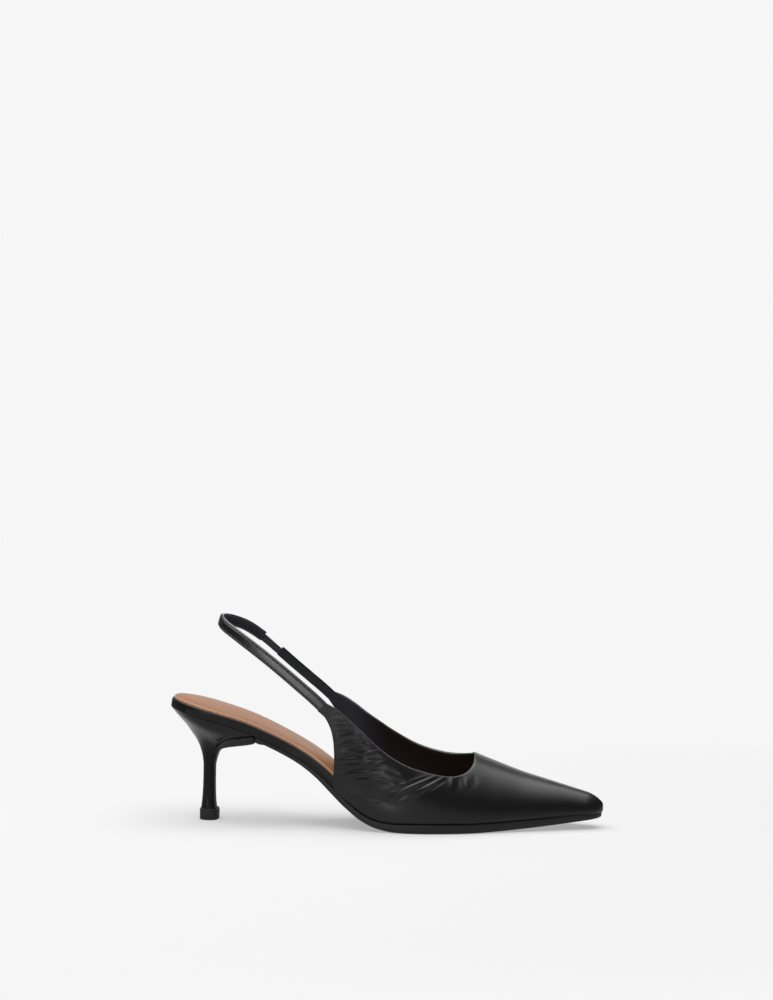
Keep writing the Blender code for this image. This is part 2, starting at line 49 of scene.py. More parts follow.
SHOE_LENGTH = 0.24875
HEEL_SETBACK = 0.02365
SEAT_HEIGHT = 0.0660
BALL_WIDTH = 0.0700
TOE_SPRING = 0.0062
SPRING_START = 0.69
SPRING_POWER = 1.6
TOE_ROUNDING = 0.0080
HEEL_ROUNDING = 0.0250
OUTSOLE_THICKNESS = 0.0052
BOARD_THICKNESS = 0.0052
BOARD_FOREFOOT = 0.0024
BOARD_THINS = (0.40, 0.52)
BOARD_EDGE_ROUNDING = 0.0009
BOARD_FOOT = ((0.0006, 0.0), (0.0001, 0.0004))
FIT_GAP = 0.0003
DOME_FADE = 0.012
SLOPE_STEP = 0.002
WELD = 2e-6
GRAIN_CELLS, GRAIN_PORES = 1500.0, 0.35
GRAIN_DRIFT, GRAIN_DRIFT_SCALE = 0.0016, 210.0
GRAIN_LINE = 0.28
PORE_SCALE = 2.3
PATCH_SCALE = 46.0
TOUCH_SCALE = 90.0
SCRATCH_STRETCH, SCRATCH_TURN = (60.0, 300.0, 900.0), (0.4, 0.5, 0.3)
SCRATCH_LEVELS = (0.62, 0.75)
LEATHER_BLACK = (0.0022, 0.0021, 0.0021, 1)
LEATHER_WORN = (0.0042, 0.0040, 0.0039, 1)


def table(columns, rows):
    """A table with named columns, as a dictionary of arrays. Its rows are written out as lines of text."""
    names = columns.split()
    return dict(zip(names, np.array(rows.split(), float).reshape(-1, len(names)).T))


# Seat line in side view: rise is a share of the seat's height over the ball
SEAT_LINE = table(
    "along rise",
    """
    0.000  0.994
    0.033  0.968
    0.108  0.889
    0.177  0.807
    0.250  0.685
    0.315  0.551
    0.355  0.439
    0.393  0.304
    0.430  0.179
    0.466  0.080
    0.500 0.0265
    0.535  0.004
    0.565  0.000
    1.000  0.000
    """,
)

# Outsole: thickness as a share of its greatest, and how far its edge stands out as a share of the ledge
OUTSOLE = table(
    "along thick ledge",
    """
    0.100 0.42 -0.35
    0.310 0.44 -0.35
    0.380 0.52  0.00
    0.426 0.58  0.80
    0.475 0.68  1.00
    0.527 0.87  1.00
    0.590 1.00  1.00
    0.660 1.00  1.00
    0.720 0.95  1.00
    0.835 0.87  0.90
    0.925 0.75  0.75
    1.000 0.50  0.45
    """,
)

# Bottom outline of the last: middle line and half width, as shares of the ball width
OUTLINE = table(
    "along middle half",
    """
    0.00  0.000 0.350
    0.10  0.000 0.350
    0.20 -0.010 0.310
    0.30 -0.030 0.277
    0.36 -0.050 0.290
    0.42 -0.064 0.334
    0.50 -0.058 0.424
    0.56 -0.046 0.475
    0.62 -0.018 0.497
    0.66  0.004 0.490
    0.70  0.021 0.465
    0.76  0.039 0.397
    0.82  0.045 0.315
    0.88  0.047 0.233
    0.94  0.047 0.153
    1.00  0.045 0.086
    """,
)


def through(xs, ys, x):
    """The smooth curve through the points that never overshoots: cubics with harmonic-mean slopes."""
    step = np.diff(xs)
    slope = np.diff(ys) / step
    before, after = slope[:-1], slope[1:]
    turning = before * after <= 0
    mean = np.where(turning, 0, 2 * before * after / np.where(turning, 1, before + after))
    tangent = np.concatenate([slope[:1], mean, slope[-1:]])
    i = np.clip(np.searchsorted(xs, x) - 1, 0, len(step) - 1)
    t = np.clip((x - xs[i]) / step[i], 0, 1)
    rest = 1 - t
    value = ys[i] * (1 + 2 * t) * rest**2 + ys[i + 1] * (3 - 2 * t) * t**2
    return value + step[i] * (tangent[i] * t * rest**2 - tangent[i + 1] * t**2 * rest)


def looked_up(rows, column, at):
    """Value of a table's column where its first column reads at, on the smooth curve through its rows."""
    return through(next(iter(rows.values())), rows[column], at)


def eased(t):
    """Smooth step from 0 to 1: three t squared less two t cubed."""
    t = np.clip(t, 0, 1)
    return t * t * (3 - 2 * t)


def place(along):
    """X of a share of the shoe's length."""
    return along * SHOE_LENGTH - HEEL_SETBACK


def share(x):
    """Share of the shoe's length at x."""
    return (x + HEEL_SETBACK) / SHOE_LENGTH


def outsole_thickness(x):
    """Thickness of the outsole at x, from its table."""
    return looked_up(OUTSOLE, "thick", share(x)) * OUTSOLE_THICKNESS


def seat_height(x):
    """Height of the seat line: the outsole's top, raised to the heel and sprung at the toe as a power."""
    along = share(np.asarray(x, float))
    rise = looked_up(SEAT_LINE, "rise", along)
    spring = np.clip((along - SPRING_START) / (1 - SPRING_START), 0, 1) ** SPRING_POWER
    heel_sole = OUTSOLE["thick"][0] * OUTSOLE_THICKNESS
    return outsole_thickness(x) + rise * (SEAT_HEIGHT - heel_sole) + spring * TOE_SPRING


def seat_normal(x):
    """Upward unit normal of the seat line in side view, from its slope over a short step."""
    step = SHOE_LENGTH * SLOPE_STEP
    slope = (seat_height(x + step) - seat_height(x - step)) / (2 * step)
    size = np.sqrt(1 + slope**2)
    return -slope / size, 1 / size


def outline_sides(x):
    """Middle line and half width of the last's bottom at x, before its ends are rounded."""
    middle = looked_up(OUTLINE, "middle", share(x))
    half = looked_up(OUTLINE, "half", share(x))
    return middle * BALL_WIDTH, half * BALL_WIDTH


def toe_rounded(x, grow):
    """1 along the shoe, falling to 0 as a quarter ellipse at the toe of the outline grown by grow."""
    away = np.clip((place(1) + grow - x) / (TOE_ROUNDING + grow), 0, 1)
    return np.sqrt(1 - (1 - away) ** 2)


def heel_rounded(x, grow):
    """The same at the back of the heel."""
    away = np.clip((x - place(0) + grow) / (HEEL_ROUNDING + grow), 0, 1)
    return np.sqrt(1 - (1 - away) ** 2)


def board_top(x):
    """Level of the board's top over the seat line: thick behind, eased to thin at the waist."""
    thin = eased((share(x) - BOARD_THINS[0]) / (BOARD_THINS[1] - BOARD_THINS[0]))
    return BOARD_THICKNESS + (BOARD_FOREFOOT - BOARD_THICKNESS) * thin


def layer(rings, across=26, stations=240, start=None, slant=0.0, dome=0.0):
    """Grid of a sole layer, stations by a closed section. Each ring is a pair of functions of x: how far the
    outline is grown, and the level over the seat line. The section goes up the lateral edge through the
    rings, over the top, down the medial edge and back underneath. A start cuts the back off there, upright
    or slanting back below, and a dome raises the top's middle by one less the cube across."""
    turn = np.linspace(0, 1, stations + 1) * np.pi
    shares = (1 - np.cos(turn)) / 2 if start is None else np.sin(turn / 2)
    sides = ([], [])
    for grown, level in rings:
        end = place(1) + grown(place(1))
        if start is None:
            back = place(0) - grown(place(0))
        else:
            back = start + (slant - seat_normal(start)[0]) * level(start)
        x = back + (end - back) * shares
        middle, half = outline_sides(x)
        wide = (half + grown(x)) * toe_rounded(x, grown(end))
        if start is None:
            wide = wide * heel_rounded(x, grown(back))
        lean, up = seat_normal(x)
        for line, sign in zip(sides, (-1, 1)):
            y = middle + sign * wide
            line.append(np.stack([x + lean * level(x), y, seat_height(x) + up * level(x)], -1))
    near, far = np.stack(sides[0], 1), np.stack(sides[1], 1)
    t = np.linspace(0, 1, across + 1)[1:-1][None, :, None]
    top = near[:, -1:] + (far[:, -1:] - near[:, -1:]) * t
    broad = np.linalg.norm(far[:, -1:] - near[:, -1:], axis=-1) / 2
    rise = dome * (1 - np.abs(2 * t[..., 0] - 1) ** 3) * eased(broad / DOME_FADE)
    lean, up = seat_normal(top[..., 0])
    top = top + np.stack([lean * rise, 0 * rise, up * rise], -1)
    under = far[:, :1] + (near[:, :1] - far[:, :1]) * t
    return np.concatenate([near, top, far[:, ::-1], under, near[:, :1]], 1)


def drawn_together(ring):
    """One row that closes a grid's end: as many points as the ring has, all at the ring's middle."""
    return np.repeat(ring.mean(axis=0)[None, None], len(ring), 1)


def quarter_round(radius, steps):
    """How far in and how far down the steps of a rounded edge lie, on a quarter circle."""
    turn = np.linspace(0, np.pi / 2, steps)
    return list(zip(radius * (1 - np.cos(turn)), radius * (1 - np.sin(turn))))


def grid_faces(rows, columns, start=0, turned=False):
    """Two triangles for each cell of a grid of points, turned round if asked."""
    index = np.arange(rows * columns).reshape(rows, columns) + start
    a, b, c, d = index[:-1, :-1], index[1:, :-1], index[1:, 1:], index[:-1, 1:]
    faces = np.stack([a, b, c, a, c, d], -1).reshape(-1, 3)
    return faces[:, ::-1] if turned else faces


def welded(points):
    """Index of each point's first twin, where points closer than the weld count as one."""
    cells = np.round(points / WELD).astype(np.int64)
    _, first, twin = np.unique(cells, axis=0, return_index=True, return_inverse=True)
    return first, twin.reshape(-1)


def shoe_piece(name, grids, finish, marks=None, sharp=50):
    """Makes one closed mesh of grids of points. Doubled points are made one, the faces that this flattens or
    lays on each other are dropped, and all of them are turned outwards by the sign of the volume."""
    points = np.concatenate([grid.reshape(-1, 3) for grid, _ in grids])
    faces, start = [], 0
    for grid, turned in grids:
        faces.append(grid_faces(*grid.shape[:2], start, turned))
        start += grid.shape[0] * grid.shape[1]
    first, twin = welded(points)
    faces = twin[np.concatenate(faces)]
    points = points[first]
    whole = (faces[:, 0] != faces[:, 1]) & (faces[:, 1] != faces[:, 2]) & (faces[:, 0] != faces[:, 2])
    faces = faces[whole]
    _, same, count = np.unique(np.sort(faces, 1), axis=0, return_inverse=True, return_counts=True)
    faces = faces[count[same.reshape(-1)] == 1]
    corners = points[faces]
    if np.einsum("ij,ij->", corners[:, 0], np.cross(corners[:, 1], corners[:, 2])) < 0:
        faces = faces[:, ::-1]
    mesh = bpy.data.meshes.new(name)
    mesh.vertices.add(len(points))
    mesh.vertices.foreach_set("co", points.ravel())
    mesh.loops.add(faces.size)
    mesh.loops.foreach_set("vertex_index", np.ascontiguousarray(faces).ravel())
    mesh.polygons.add(len(faces))
    mesh.polygons.foreach_set("loop_start", np.arange(0, faces.size, 3))
    mesh.update(calc_edges=True)
    mesh.validate()
    for mark, values in (marks or {}).items():
        kept = mesh.attributes.new(mark, "FLOAT", "POINT")
        kept.data.foreach_set("value", np.ascontiguousarray(values.reshape(-1)[first], np.float32))
    mesh.shade_smooth()
    mesh.set_sharp_from_angle(angle=np.radians(sharp))
    mesh.materials.append(finish)
    piece = bpy.data.objects.new(name, mesh)
    bpy.context.scene.collection.objects.link(piece)
    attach(piece, "root")
    return piece


def add_node(tree, kind, settings=None, inputs=None):
    """A shader node with its settings, whose sockets take numbers, colours or other nodes' outputs."""
    made = tree.nodes.new(kind)
    for key, value in (settings or {}).items():
        setattr(made, key, value)
    for key, value in (inputs or {}).items():
        if isinstance(value, bpy.types.NodeSocket):
            tree.links.new(value, made.inputs[key])
        else:
            made.inputs[key].default_value = value
    return made


def scaled(tree, value, low, high):
    """A value from 0 to 1 led to between low and high."""
    inputs = {"Value": value, "To Min": low, "To Max": high}
    return add_node(tree, "ShaderNodeMapRange", None, inputs).outputs["Result"]


def stepped(tree, value, low, high, least=0.0):
    """A smooth step of a value, from least to 1 while it goes from low to high."""
    inputs = {"Value": value, "From Min": low, "From Max": high, "To Min": least}
    settings = {"interpolation_type": "SMOOTHSTEP"}
    return add_node(tree, "ShaderNodeMapRange", settings, inputs).outputs["Result"]


def product(tree, one, other):
    """One value times the other."""
    return add_node(tree, "ShaderNodeMath", {"operation": "MULTIPLY"}, {0: one, 1: other}).outputs[0]


def noise(tree, spot, scale, detail=2.0, roughness=0.5):
    """Fractal noise at a spot, as the outputs of its node."""
    inputs = {"Vector": spot, "Scale": scale, "Detail": detail, "Roughness": roughness}
    return add_node(tree, "ShaderNodeTexNoise", None, inputs).outputs


def blended(tree, value, one, other):
    """A colour between two, by a value from 0 to 1."""
    inputs = {"Factor": value, 6: one, 7: other}
    return add_node(tree, "ShaderNodeMix", {"data_type": "RGBA"}, inputs).outputs[2]


def attribute(tree, name):
    """A number kept at the points of the mesh."""
    return add_node(tree, "ShaderNodeAttribute", {"attribute_name": name}).outputs["Fac"]


def effect_group(name, inputs, outputs):
    """An empty node group with number sockets, whose first input is the place on the object."""
    group = bpy.data.node_groups.new(name, "ShaderNodeTree")
    group.interface.new_socket("Place", in_out="INPUT", socket_type="NodeSocketVector")
    for socket, value in inputs.items():
        made = group.interface.new_socket(socket, in_out="INPUT", socket_type="NodeSocketFloat")
        made.default_value = value
    for socket in outputs:
        group.interface.new_socket(socket, in_out="OUTPUT", socket_type="NodeSocketFloat")
    return group, group.nodes.new("NodeGroupInput").outputs, group.nodes.new("NodeGroupOutput").inputs


def leather_grain():
    """Calf grain: small cells parted by fine lines, with pores, and slow patches of colour and gloss."""
    given = {"Cells": GRAIN_CELLS, "Pores": GRAIN_PORES}
    tree, given, out = effect_group("leather_grain", given, ["Height", "Patch"])
    spot = given["Place"]
    drift = {0: noise(tree, spot, GRAIN_DRIFT_SCALE)["Color"], 1: (GRAIN_DRIFT,) * 3, 2: spot}
    shift = add_node(tree, "ShaderNodeVectorMath", {"operation": "MULTIPLY_ADD"}, drift).outputs[0]
    cells = {"Vector": shift, "Scale": given["Cells"]}
    cells = add_node(tree, "ShaderNodeTexVoronoi", {"feature": "DISTANCE_TO_EDGE"}, cells).outputs
    lines = stepped(tree, cells["Distance"], 0.0, GRAIN_LINE)
    pores = noise(tree, spot, product(tree, given["Cells"], PORE_SCALE), 3.0, 0.6)["Fac"]
    height = add_node(tree, "ShaderNodeMix", None, {"Factor": given["Pores"], 2: lines, 3: pores})
    tree.links.new(height.outputs[0], out["Height"])
    tree.links.new(noise(tree, spot, PATCH_SCALE, 4.0, 0.55)["Fac"], out["Patch"])
    return tree


def handling_marks():
    """Marks of handling: a clouded film of touch with a few long thin scratches in it."""
    tree, given, out = effect_group("handling_marks", {"Scratches": 0.3}, ["Film"])
    cloud = noise(tree, given["Place"], TOUCH_SCALE, 5.0, 0.62)["Fac"]
    drawn = {"Vector": given["Place"], "Scale": SCRATCH_STRETCH, "Rotation": SCRATCH_TURN}
    drawn = add_node(tree, "ShaderNodeMapping", None, drawn).outputs[0]
    thin = stepped(tree, noise(tree, drawn, 2.0)["Fac"], *SCRATCH_LEVELS)
    film = {0: thin, 1: given["Scratches"], 2: cloud}
    film = add_node(tree, "ShaderNodeMath", {"operation": "MULTIPLY_ADD", "use_clamp": True}, film)
    tree.links.new(film.outputs[0], out["Film"])
    return tree


GRAIN = leather_grain()
MARKS = handling_marks()


def new_finish(name, slots=None):
    """A material with its tree, its Principled shader and the object's coordinates."""
    finish = bpy.data.materials.new(name)
    finish.use_nodes = True
    tree = finish.node_tree
    shader = tree.nodes["Principled BSDF"]
    for key, value in (slots or {}).items():
        shader.inputs[key].default_value = value
    return finish, tree, shader, add_node(tree, "ShaderNodeTexCoord").outputs["Object"]


def grain_at(tree, spot, cells, pores):
    """The leather grain set into a material, with its cells to a metre and its share of pores."""
    inputs = {"Place": spot, "Cells": cells, "Pores": pores}
    return add_node(tree, "ShaderNodeGroup", {"node_tree": GRAIN}, inputs).outputs


def film_at(tree, spot, scratches):
    """The marks of handling set into a material, with their share of scratches."""
    inputs = {"Place": spot, "Scratches": scratches}
    return add_node(tree, "ShaderNodeGroup", {"node_tree": MARKS}, inputs).outputs["Film"]


def tinted(tree, shader, value, dark, light):
    """Leads a colour between dark and light to the shader, by a value from 0 to 1."""
    tree.links.new(blended(tree, value, dark, light), shader.inputs["Base Color"])


def glossed(tree, shader, value, smooth, rough):
    """Leads a roughness between smooth and rough to the shader, by a value from 0 to 1."""
    tree.links.new(scaled(tree, value, smooth, rough), shader.inputs["Roughness"])


def bumped(tree, shader, height, strength, depth):
    """Leads a height to the shader's normal through a bump of this depth."""
    inputs = {"Height": height, "Strength": strength, "Distance": depth}
    bump = add_node(tree, "ShaderNodeBump", None, inputs)
    tree.links.new(bump.outputs["Normal"], shader.inputs["Normal"])


def leather_finish(name, gloss, cells, depth, coat, dark=LEATHER_BLACK, light=LEATHER_WORN):
    """Dyed and polished leather: grain in the bump, patches in the colour, and handling in the gloss."""
    slots = {"Coat Weight": coat, "Coat Roughness": 0.28, "Specular IOR Level": 0.22}
    finish, tree, shader, spot = new_finish(name, slots)
    grain = grain_at(tree, spot, cells, GRAIN_PORES)
    tinted(tree, shader, grain["Patch"], dark, light)
    glossed(tree, shader, film_at(tree, spot, scratches=0.15), *gloss)
    bumped(tree, shader, grain["Height"], 0.5, depth)
    return finish


wrapped_leather = leather_finish("wrapped_leather", (0.34, 0.50), cells=1500.0, depth=0.00005, coat=0.0)


def over_board(rise):
    """Level that lies a rise over the board's top."""
    return lambda x: board_top(x) + rise


def always(value):
    """The function of x with one value."""
    return lambda x: value + 0 * x


board_rings = [(always(-FIT_GAP - into), always(up)) for into, up in BOARD_FOOT]
for into, down in quarter_round(BOARD_EDGE_ROUNDING, 7):
    board_rings.append((always(-FIT_GAP - into), over_board(-down)))
board = shoe_piece("insole_board_wrapped", [(layer(board_rings), False)], wrapped_leather)
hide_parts("insole_board")


# Upper. Black calf skived thin and pulled over the last, folded back at the topline and at the rear edges,
# with its foot drawn in under the board. The low-cut quarters are ruched and the vamp is pulled smooth.

VAMP_HEIGHT = 0.0428
UPPER_WALL = 0.0018
NOSE_FLATNESS = 0.42
QUARTER_FOOT = 0.3920
BLEND_START, BLEND_END, BLEND_GIRTH = 0.36, 0.47, 0.32
STRAP_WIDTH = 0.0067
STRAP_HEIGHT = 0.1168
STRAP_HALF_SPREAD = 0.0275
STRAP_LEAN = 0.29
LATERAL_SEAM = 0.074
ELASTIC_START = 0.672
ELASTIC_END = 0.735
MEDIAL_ROOT = 0.930
PATH_STEP = 0.004
PATH_BACK_ROW = 7
GIRTH_WEIGHT = 0.3
UPPER_ROWS = 62
ROOT_COLUMNS = 64
ROOT_BLEND_COLUMNS = 21
TOE_COLUMNS = (150, 240)
REAR_PART = 0.8
EDGE_BULGE, ROOT_END_BULGE = 0.70, 0.3
EDGE_SQUARENESS = 0.75
SKIN_INSET, ROOT_INSET = 0.0006, 0.0005
HIDDEN_DEPTH, HIDDEN_ROOT = 0.0009, 0.6
HIDDEN_FROM, HIDDEN_FADE = 0.03, 0.05
CREASE_GAIN = 1.5
CREASE_SPREAD = 0.85
CREASE_OVERRUN, CREASE_FADE = 0.10, 1.15
SEAM_SMOOTH, EDGE_SMOOTH = 14, 0.035
FOOT_TUCK = 0.0010
FOOT_TUCK_HEIGHT = 0.0018
FOOT_TUCK_MARGIN = 0.001

# Sections of the last: ridge height over the floor as a share of the vamp height, section squareness, and
# how far each side swells past its foot, as shares of the ball width
SECTIONS = table(
    "along ridge square lateral medial",
    """
    0.33  2.90  3.0 0.020 0.130
    0.39  2.65  3.0 0.020 0.125
    0.42  2.42  3.0 0.022 0.100
    0.45  2.14  2.8 0.024 0.075
    0.50  1.76  2.6 0.026 0.048
    0.56  1.45  2.4 0.024 0.030
    0.62  1.24  2.2 0.020 0.022
    0.66 1.105  2.1 0.018 0.020
    0.70 1.000  2.0 0.016 0.018
    0.76 0.862  2.0 0.012 0.014
    0.82 0.735  2.0 0.010 0.010
    0.88 0.632 2.05 0.008 0.008
    0.94 0.530  2.1 0.006 0.006
    1.00 0.430  2.1 0.004 0.004
    """,
)

# Topline, from the quarters to the throat: girth is 0 at the sole and 1 on the ridge
TOPLINE = table(
    "along lateral medial",
    """
    0.3990 0.351 0.366
    0.4250 0.371 0.398
    0.4600 0.399 0.443
    0.4900 0.406 0.472
    0.5300 0.401 0.486
    0.5750 0.396 0.489
    0.6000 0.401 0.496
    0.6300 0.412 0.525
    0.6620 0.444 0.592
    0.6840 0.497 0.668
    0.6970 0.562 0.742
    0.7050 0.645 0.850
    0.7090 0.745 0.920
    0.7100 1.000 1.000
    """,
)

# Rear edge of each quarter, from the strap down to its foot; height is a share of the seat height
REAR_EDGE = table(
    "along height",
    """
    0.3690 0.971
    0.3770 0.929
    0.3850 0.867
    0.3900 0.805
    0.3940 0.695
    0.3950 0.589
    0.3940 0.488
    0.3925 0.405
    """,
)

# Middle line of the strap, from the lateral quarter round the heel to the medial quarter
STRAP_PATH = table(
    "along across height broad",
    """
    0.4050 -1.000 0.500 1.00
    0.3570 -0.965 0.608 1.00
    0.3090 -0.915 0.694 1.00
    0.2540 -0.850 0.787 1.00
    0.1980 -0.745 0.874 1.00
    0.1590 -0.600 0.929 1.00
    0.1270 -0.355 0.972 1.00
    0.1150  0.000 0.992 1.00
    0.1270  0.340 0.985 1.00
    0.1600  0.570 0.959 0.98
    0.1990  0.730 0.905 0.94
    0.2350  0.800 0.840 0.88
    0.2720  0.850 0.771 0.86
    0.3090  0.900 0.704 0.86
    0.3570  0.950 0.617 0.86
    0.4050  0.985 0.514 0.88
    """,
)

# Where each column of the upper starts on the topline and ends below: 0 to 1 down the quarter's rear edge,
# 1 to 2 along the foot of the upper, and 2 to 3 up the nose
COLUMNS = table(
    "column top low",
    """
      0 0.000 0.00
     36 0.120 1.00
    146 0.560 1.34
    182 0.700 1.49
    246 0.930 2.00
    286 1.000 3.00
    """,
)
SIDE_COLUMNS = int(COLUMNS["column"][-1]) + 1
NOSE_COLUMNS = int(COLUMNS["column"][-1] - COLUMNS["column"][-2])

# Creases of the lateral quarter and vamp in side view, in millimetres: soft ridges and troughs that run
# from one point to another, bent upwards in the middle, each with its half width and its height
LATERAL_CREASES = table(
    "x0 z0 x1 z1 bend wide high",
    """
     75.5 61.0  80.5 62.8 0.3 0.7  0.22
     80.0 63.4  86.0 58.4 0.4 0.8  0.24
     75.0 58.2  82.5 59.6 0.2 0.8 -0.20
     75.5 54.5  84.3 56.1 0.3 1.3 -0.34
     76.0 51.6  85.0 53.2 0.4 0.9  0.18
     77.0 47.4  93.2 48.2 2.0 0.9  0.46
     79.5 46.0  89.5 45.2 1.2 0.9 -0.34
     86.5 52.6  93.5 49.8 0.6 0.9 -0.22
     88.0 43.9 100.5 45.6 0.5 0.9  0.44
     75.1 41.0  90.0 42.6 0.6 1.1 -0.42
     77.0 38.9  92.0 40.4 0.5 0.9  0.34
     91.5 41.3 101.0 42.6 0.5 0.9 -0.26
     77.5 35.5  91.0 37.2 0.5 0.9  0.46
     93.5 37.6 104.5 39.8 0.4 1.0  0.46
     77.0 32.8 102.5 36.6 0.8 1.2 -0.46
     82.5 31.9  97.0 33.8 0.5 0.8  0.36
     88.0 30.3 103.0 31.8 0.4 0.7 -0.26
     86.5 28.6 105.5 30.2 0.5 0.9  0.46
     86.0 26.4 107.0 27.0 0.6 1.5 -0.34
    104.0 34.6 112.5 33.0 0.5 1.2 -0.26
    107.0 29.2 116.0 29.4 0.4 1.0 -0.26
    131.0 31.4 101.0 17.6 0.9 3.4  0.42
    133.0 32.8 103.0 18.0 0.8 0.9  0.30
    129.8 32.4 105.0 21.4 0.8 0.8 -0.24
    126.5 32.6 103.0 22.4 0.7 0.7  0.20
    133.5 31.0 109.0 18.0 0.8 0.7 -0.26
    134.5 30.4 112.5 17.8 0.7 0.8  0.24
    137.0 31.4 120.0 20.6 0.7 0.9  0.34
    138.0 30.4 124.0 20.8 0.6 0.9 -0.26
    140.9 31.6 141.4 25.0 0.0 1.4  0.24
    144.6 31.4 145.2 25.0 0.0 1.3 -0.16
    149.0 31.6 150.2 25.6 0.0 1.5  0.20
    153.0 32.0 154.6 26.6 0.0 1.5 -0.12
     84.0 24.2 112.0 16.0 0.6 4.2 -0.70
    """,
)
MEDIAL_CREASES = table(
    "x0 z0 x1 z1 bend wide high",
    """
     75.0 60.5  83.0 62.0 0.4 0.9  0.24
     75.5 56.0  88.0 57.6 0.5 1.2 -0.34
     77.0 52.0  92.0 54.2 0.8 1.0  0.30
     76.0 47.4  90.0 48.6 0.6 1.1 -0.36
     80.0 44.6  99.0 47.0 0.8 1.0  0.34
     76.5 40.8  95.0 42.4 0.6 1.1 -0.38
     84.0 38.4 104.0 41.2 0.7 1.0  0.34
     77.0 34.4 100.0 36.8 0.6 1.2 -0.40
     86.0 31.6 108.0 34.6 0.7 1.0  0.32
     84.0 27.6 108.0 29.6 0.6 1.3 -0.36
    104.0 38.0 116.0 36.6 0.5 1.2 -0.24
    110.0 33.8 122.0 33.4 0.4 1.0  0.24
    138.0 33.0 116.0 20.0 0.8 1.2  0.34
    143.0 32.4 125.0 20.6 0.8 1.1 -0.28
     86.0 24.0 114.0 15.6 0.6 4.2 -0.60
    """,
)

# Fine gathers of the quarters: height, pitch, slant and drift of each train of waves, and the slow wave in
# which it comes and goes, in millimetres; then the zone that they fill, and how softly it ends
RUCHING = table(
    "high pitch slant drift drift_x drift_z slow_x slow_z phase",
    """
    0.075 3.3 -0.16 1.1 5.3 17 6.1  4.3 0.0
    0.050 2.1  0.10 0.8 3.9 -9 4.7 -5.9 1.3
    """,
)
RUCHED_FROM, RUCHED_FROM_FADE = 72, 5
RUCHED_TO, RUCHED_TO_FADE = 118, 26
RUCHED_OVER, RUCHED_OVER_FADE = 5, 8


def side_name(side):
    """Name of a side in the tables: side is -1 for lateral and 1 for medial."""
    return "lateral" if side < 0 else "medial"


def unit(vectors):
    """The vectors at length 1, where an empty one stays empty."""
    return vectors / np.maximum(np.linalg.norm(vectors, axis=-1, keepdims=True), 1e-15)


def run_along(points):
    """Length run along a line of points, at each of them."""
    return np.concatenate([[0], np.cumsum(np.linalg.norm(np.diff(points, axis=0), axis=1))])


def last_side(x, girth, side, grow):
    """Point of the last grown by grow. Height follows a sine of the girth, and the width is a superellipse
    of the height plus the side's swelling."""
    along = share(x)
    foot = seat_height(x)
    nose = toe_rounded(x, grow)
    ridge = looked_up(SECTIONS, "ridge", along) * VAMP_HEIGHT - UPPER_WALL + grow
    ridge = foot + (ridge - foot) * (NOSE_FLATNESS + (1 - NOSE_FLATNESS) * nose)
    rise = np.sin(girth * np.pi / 2)
    power = looked_up(SECTIONS, "square", along)
    middle, half = outline_sides(x)
    swell = through(SECTIONS["along"], SECTIONS[side_name(side)], along) * BALL_WIDTH
    reach = (half + grow) * (1 - rise**power) ** (1 / power) + swell * np.sin(np.pi * rise)
    return x, middle + side * reach * nose, foot + (ridge - foot) * rise


def girth_at(x, z, grow):
    """Girth share at which the last's section at x reaches the height z."""
    foot = last_side(x, 0.0, 1, grow)[2]
    ridge = last_side(x, 1.0, 1, grow)[2]
    return np.arcsin(np.clip((z - foot) / (ridge - foot), 0, 1)) * 2 / np.pi


def strap_point(t):
    """Middle point and width of the strap at shares t of its path, by length between the table's rows."""
    x, y = place(STRAP_PATH["along"]), STRAP_PATH["across"] * STRAP_HALF_SPREAD
    points = np.stack([x, y, STRAP_PATH["height"] * STRAP_HEIGHT], -1)
    run = run_along(points)
    run /= run[-1]
    t = np.asarray(t, float)
    middle = np.stack([through(run, points[:, k], t) for k in range(3)], -1)
    return middle, through(run, STRAP_PATH["broad"], t) * STRAP_WIDTH


def strap_frame(t):
    """Middle points, vectors across the strap's width and outward unit normals, from a leaning upright."""
    t = np.asarray(t, float)
    middle, broad = strap_point(t)
    ahead = unit(strap_point(t + PATH_STEP)[0] - strap_point(t - PATH_STEP)[0])
    lean = np.array([STRAP_LEAN, 0, 1])
    width = unit(lean - (ahead @ lean)[..., None] * ahead)
    return middle, width * broad[..., None], np.cross(width, ahead)


def strap_side(x, side):
    """Y of the strap's middle line at x, on one side of the heel."""
    rows = slice(0, PATH_BACK_ROW + 1) if side < 0 else slice(PATH_BACK_ROW, None)
    along = STRAP_PATH["along"][rows]
    across = STRAP_PATH["across"][rows]
    order = np.argsort(along)
    return through(along[order], across[order], share(x)) * STRAP_HALF_SPREAD


def wall_point(x, girth, side, grow):
    """Point of the upper's wall: the last's side, led over to the strap's line at the top of the quarter."""
    x, y, z = last_side(x, girth, side, grow)
    strap = strap_side(x, side) + side * (grow - UPPER_WALL / 2)
    lead = eased((place(BLEND_END) - x) / (SHOE_LENGTH * (BLEND_END - BLEND_START)))
    lead = lead * eased(girth / BLEND_GIRTH)
    return np.stack([x, y + (strap - y) * lead, z], -1)


def along_edge(x, girth, side, shares):
    """X and girth at shares of an edge's length, measured over the wall from closely set points."""
    run = run_along(wall_point(x, girth, side, UPPER_WALL))
    return np.interp(shares * run[-1], run, x), np.interp(shares * run[-1], run, girth)


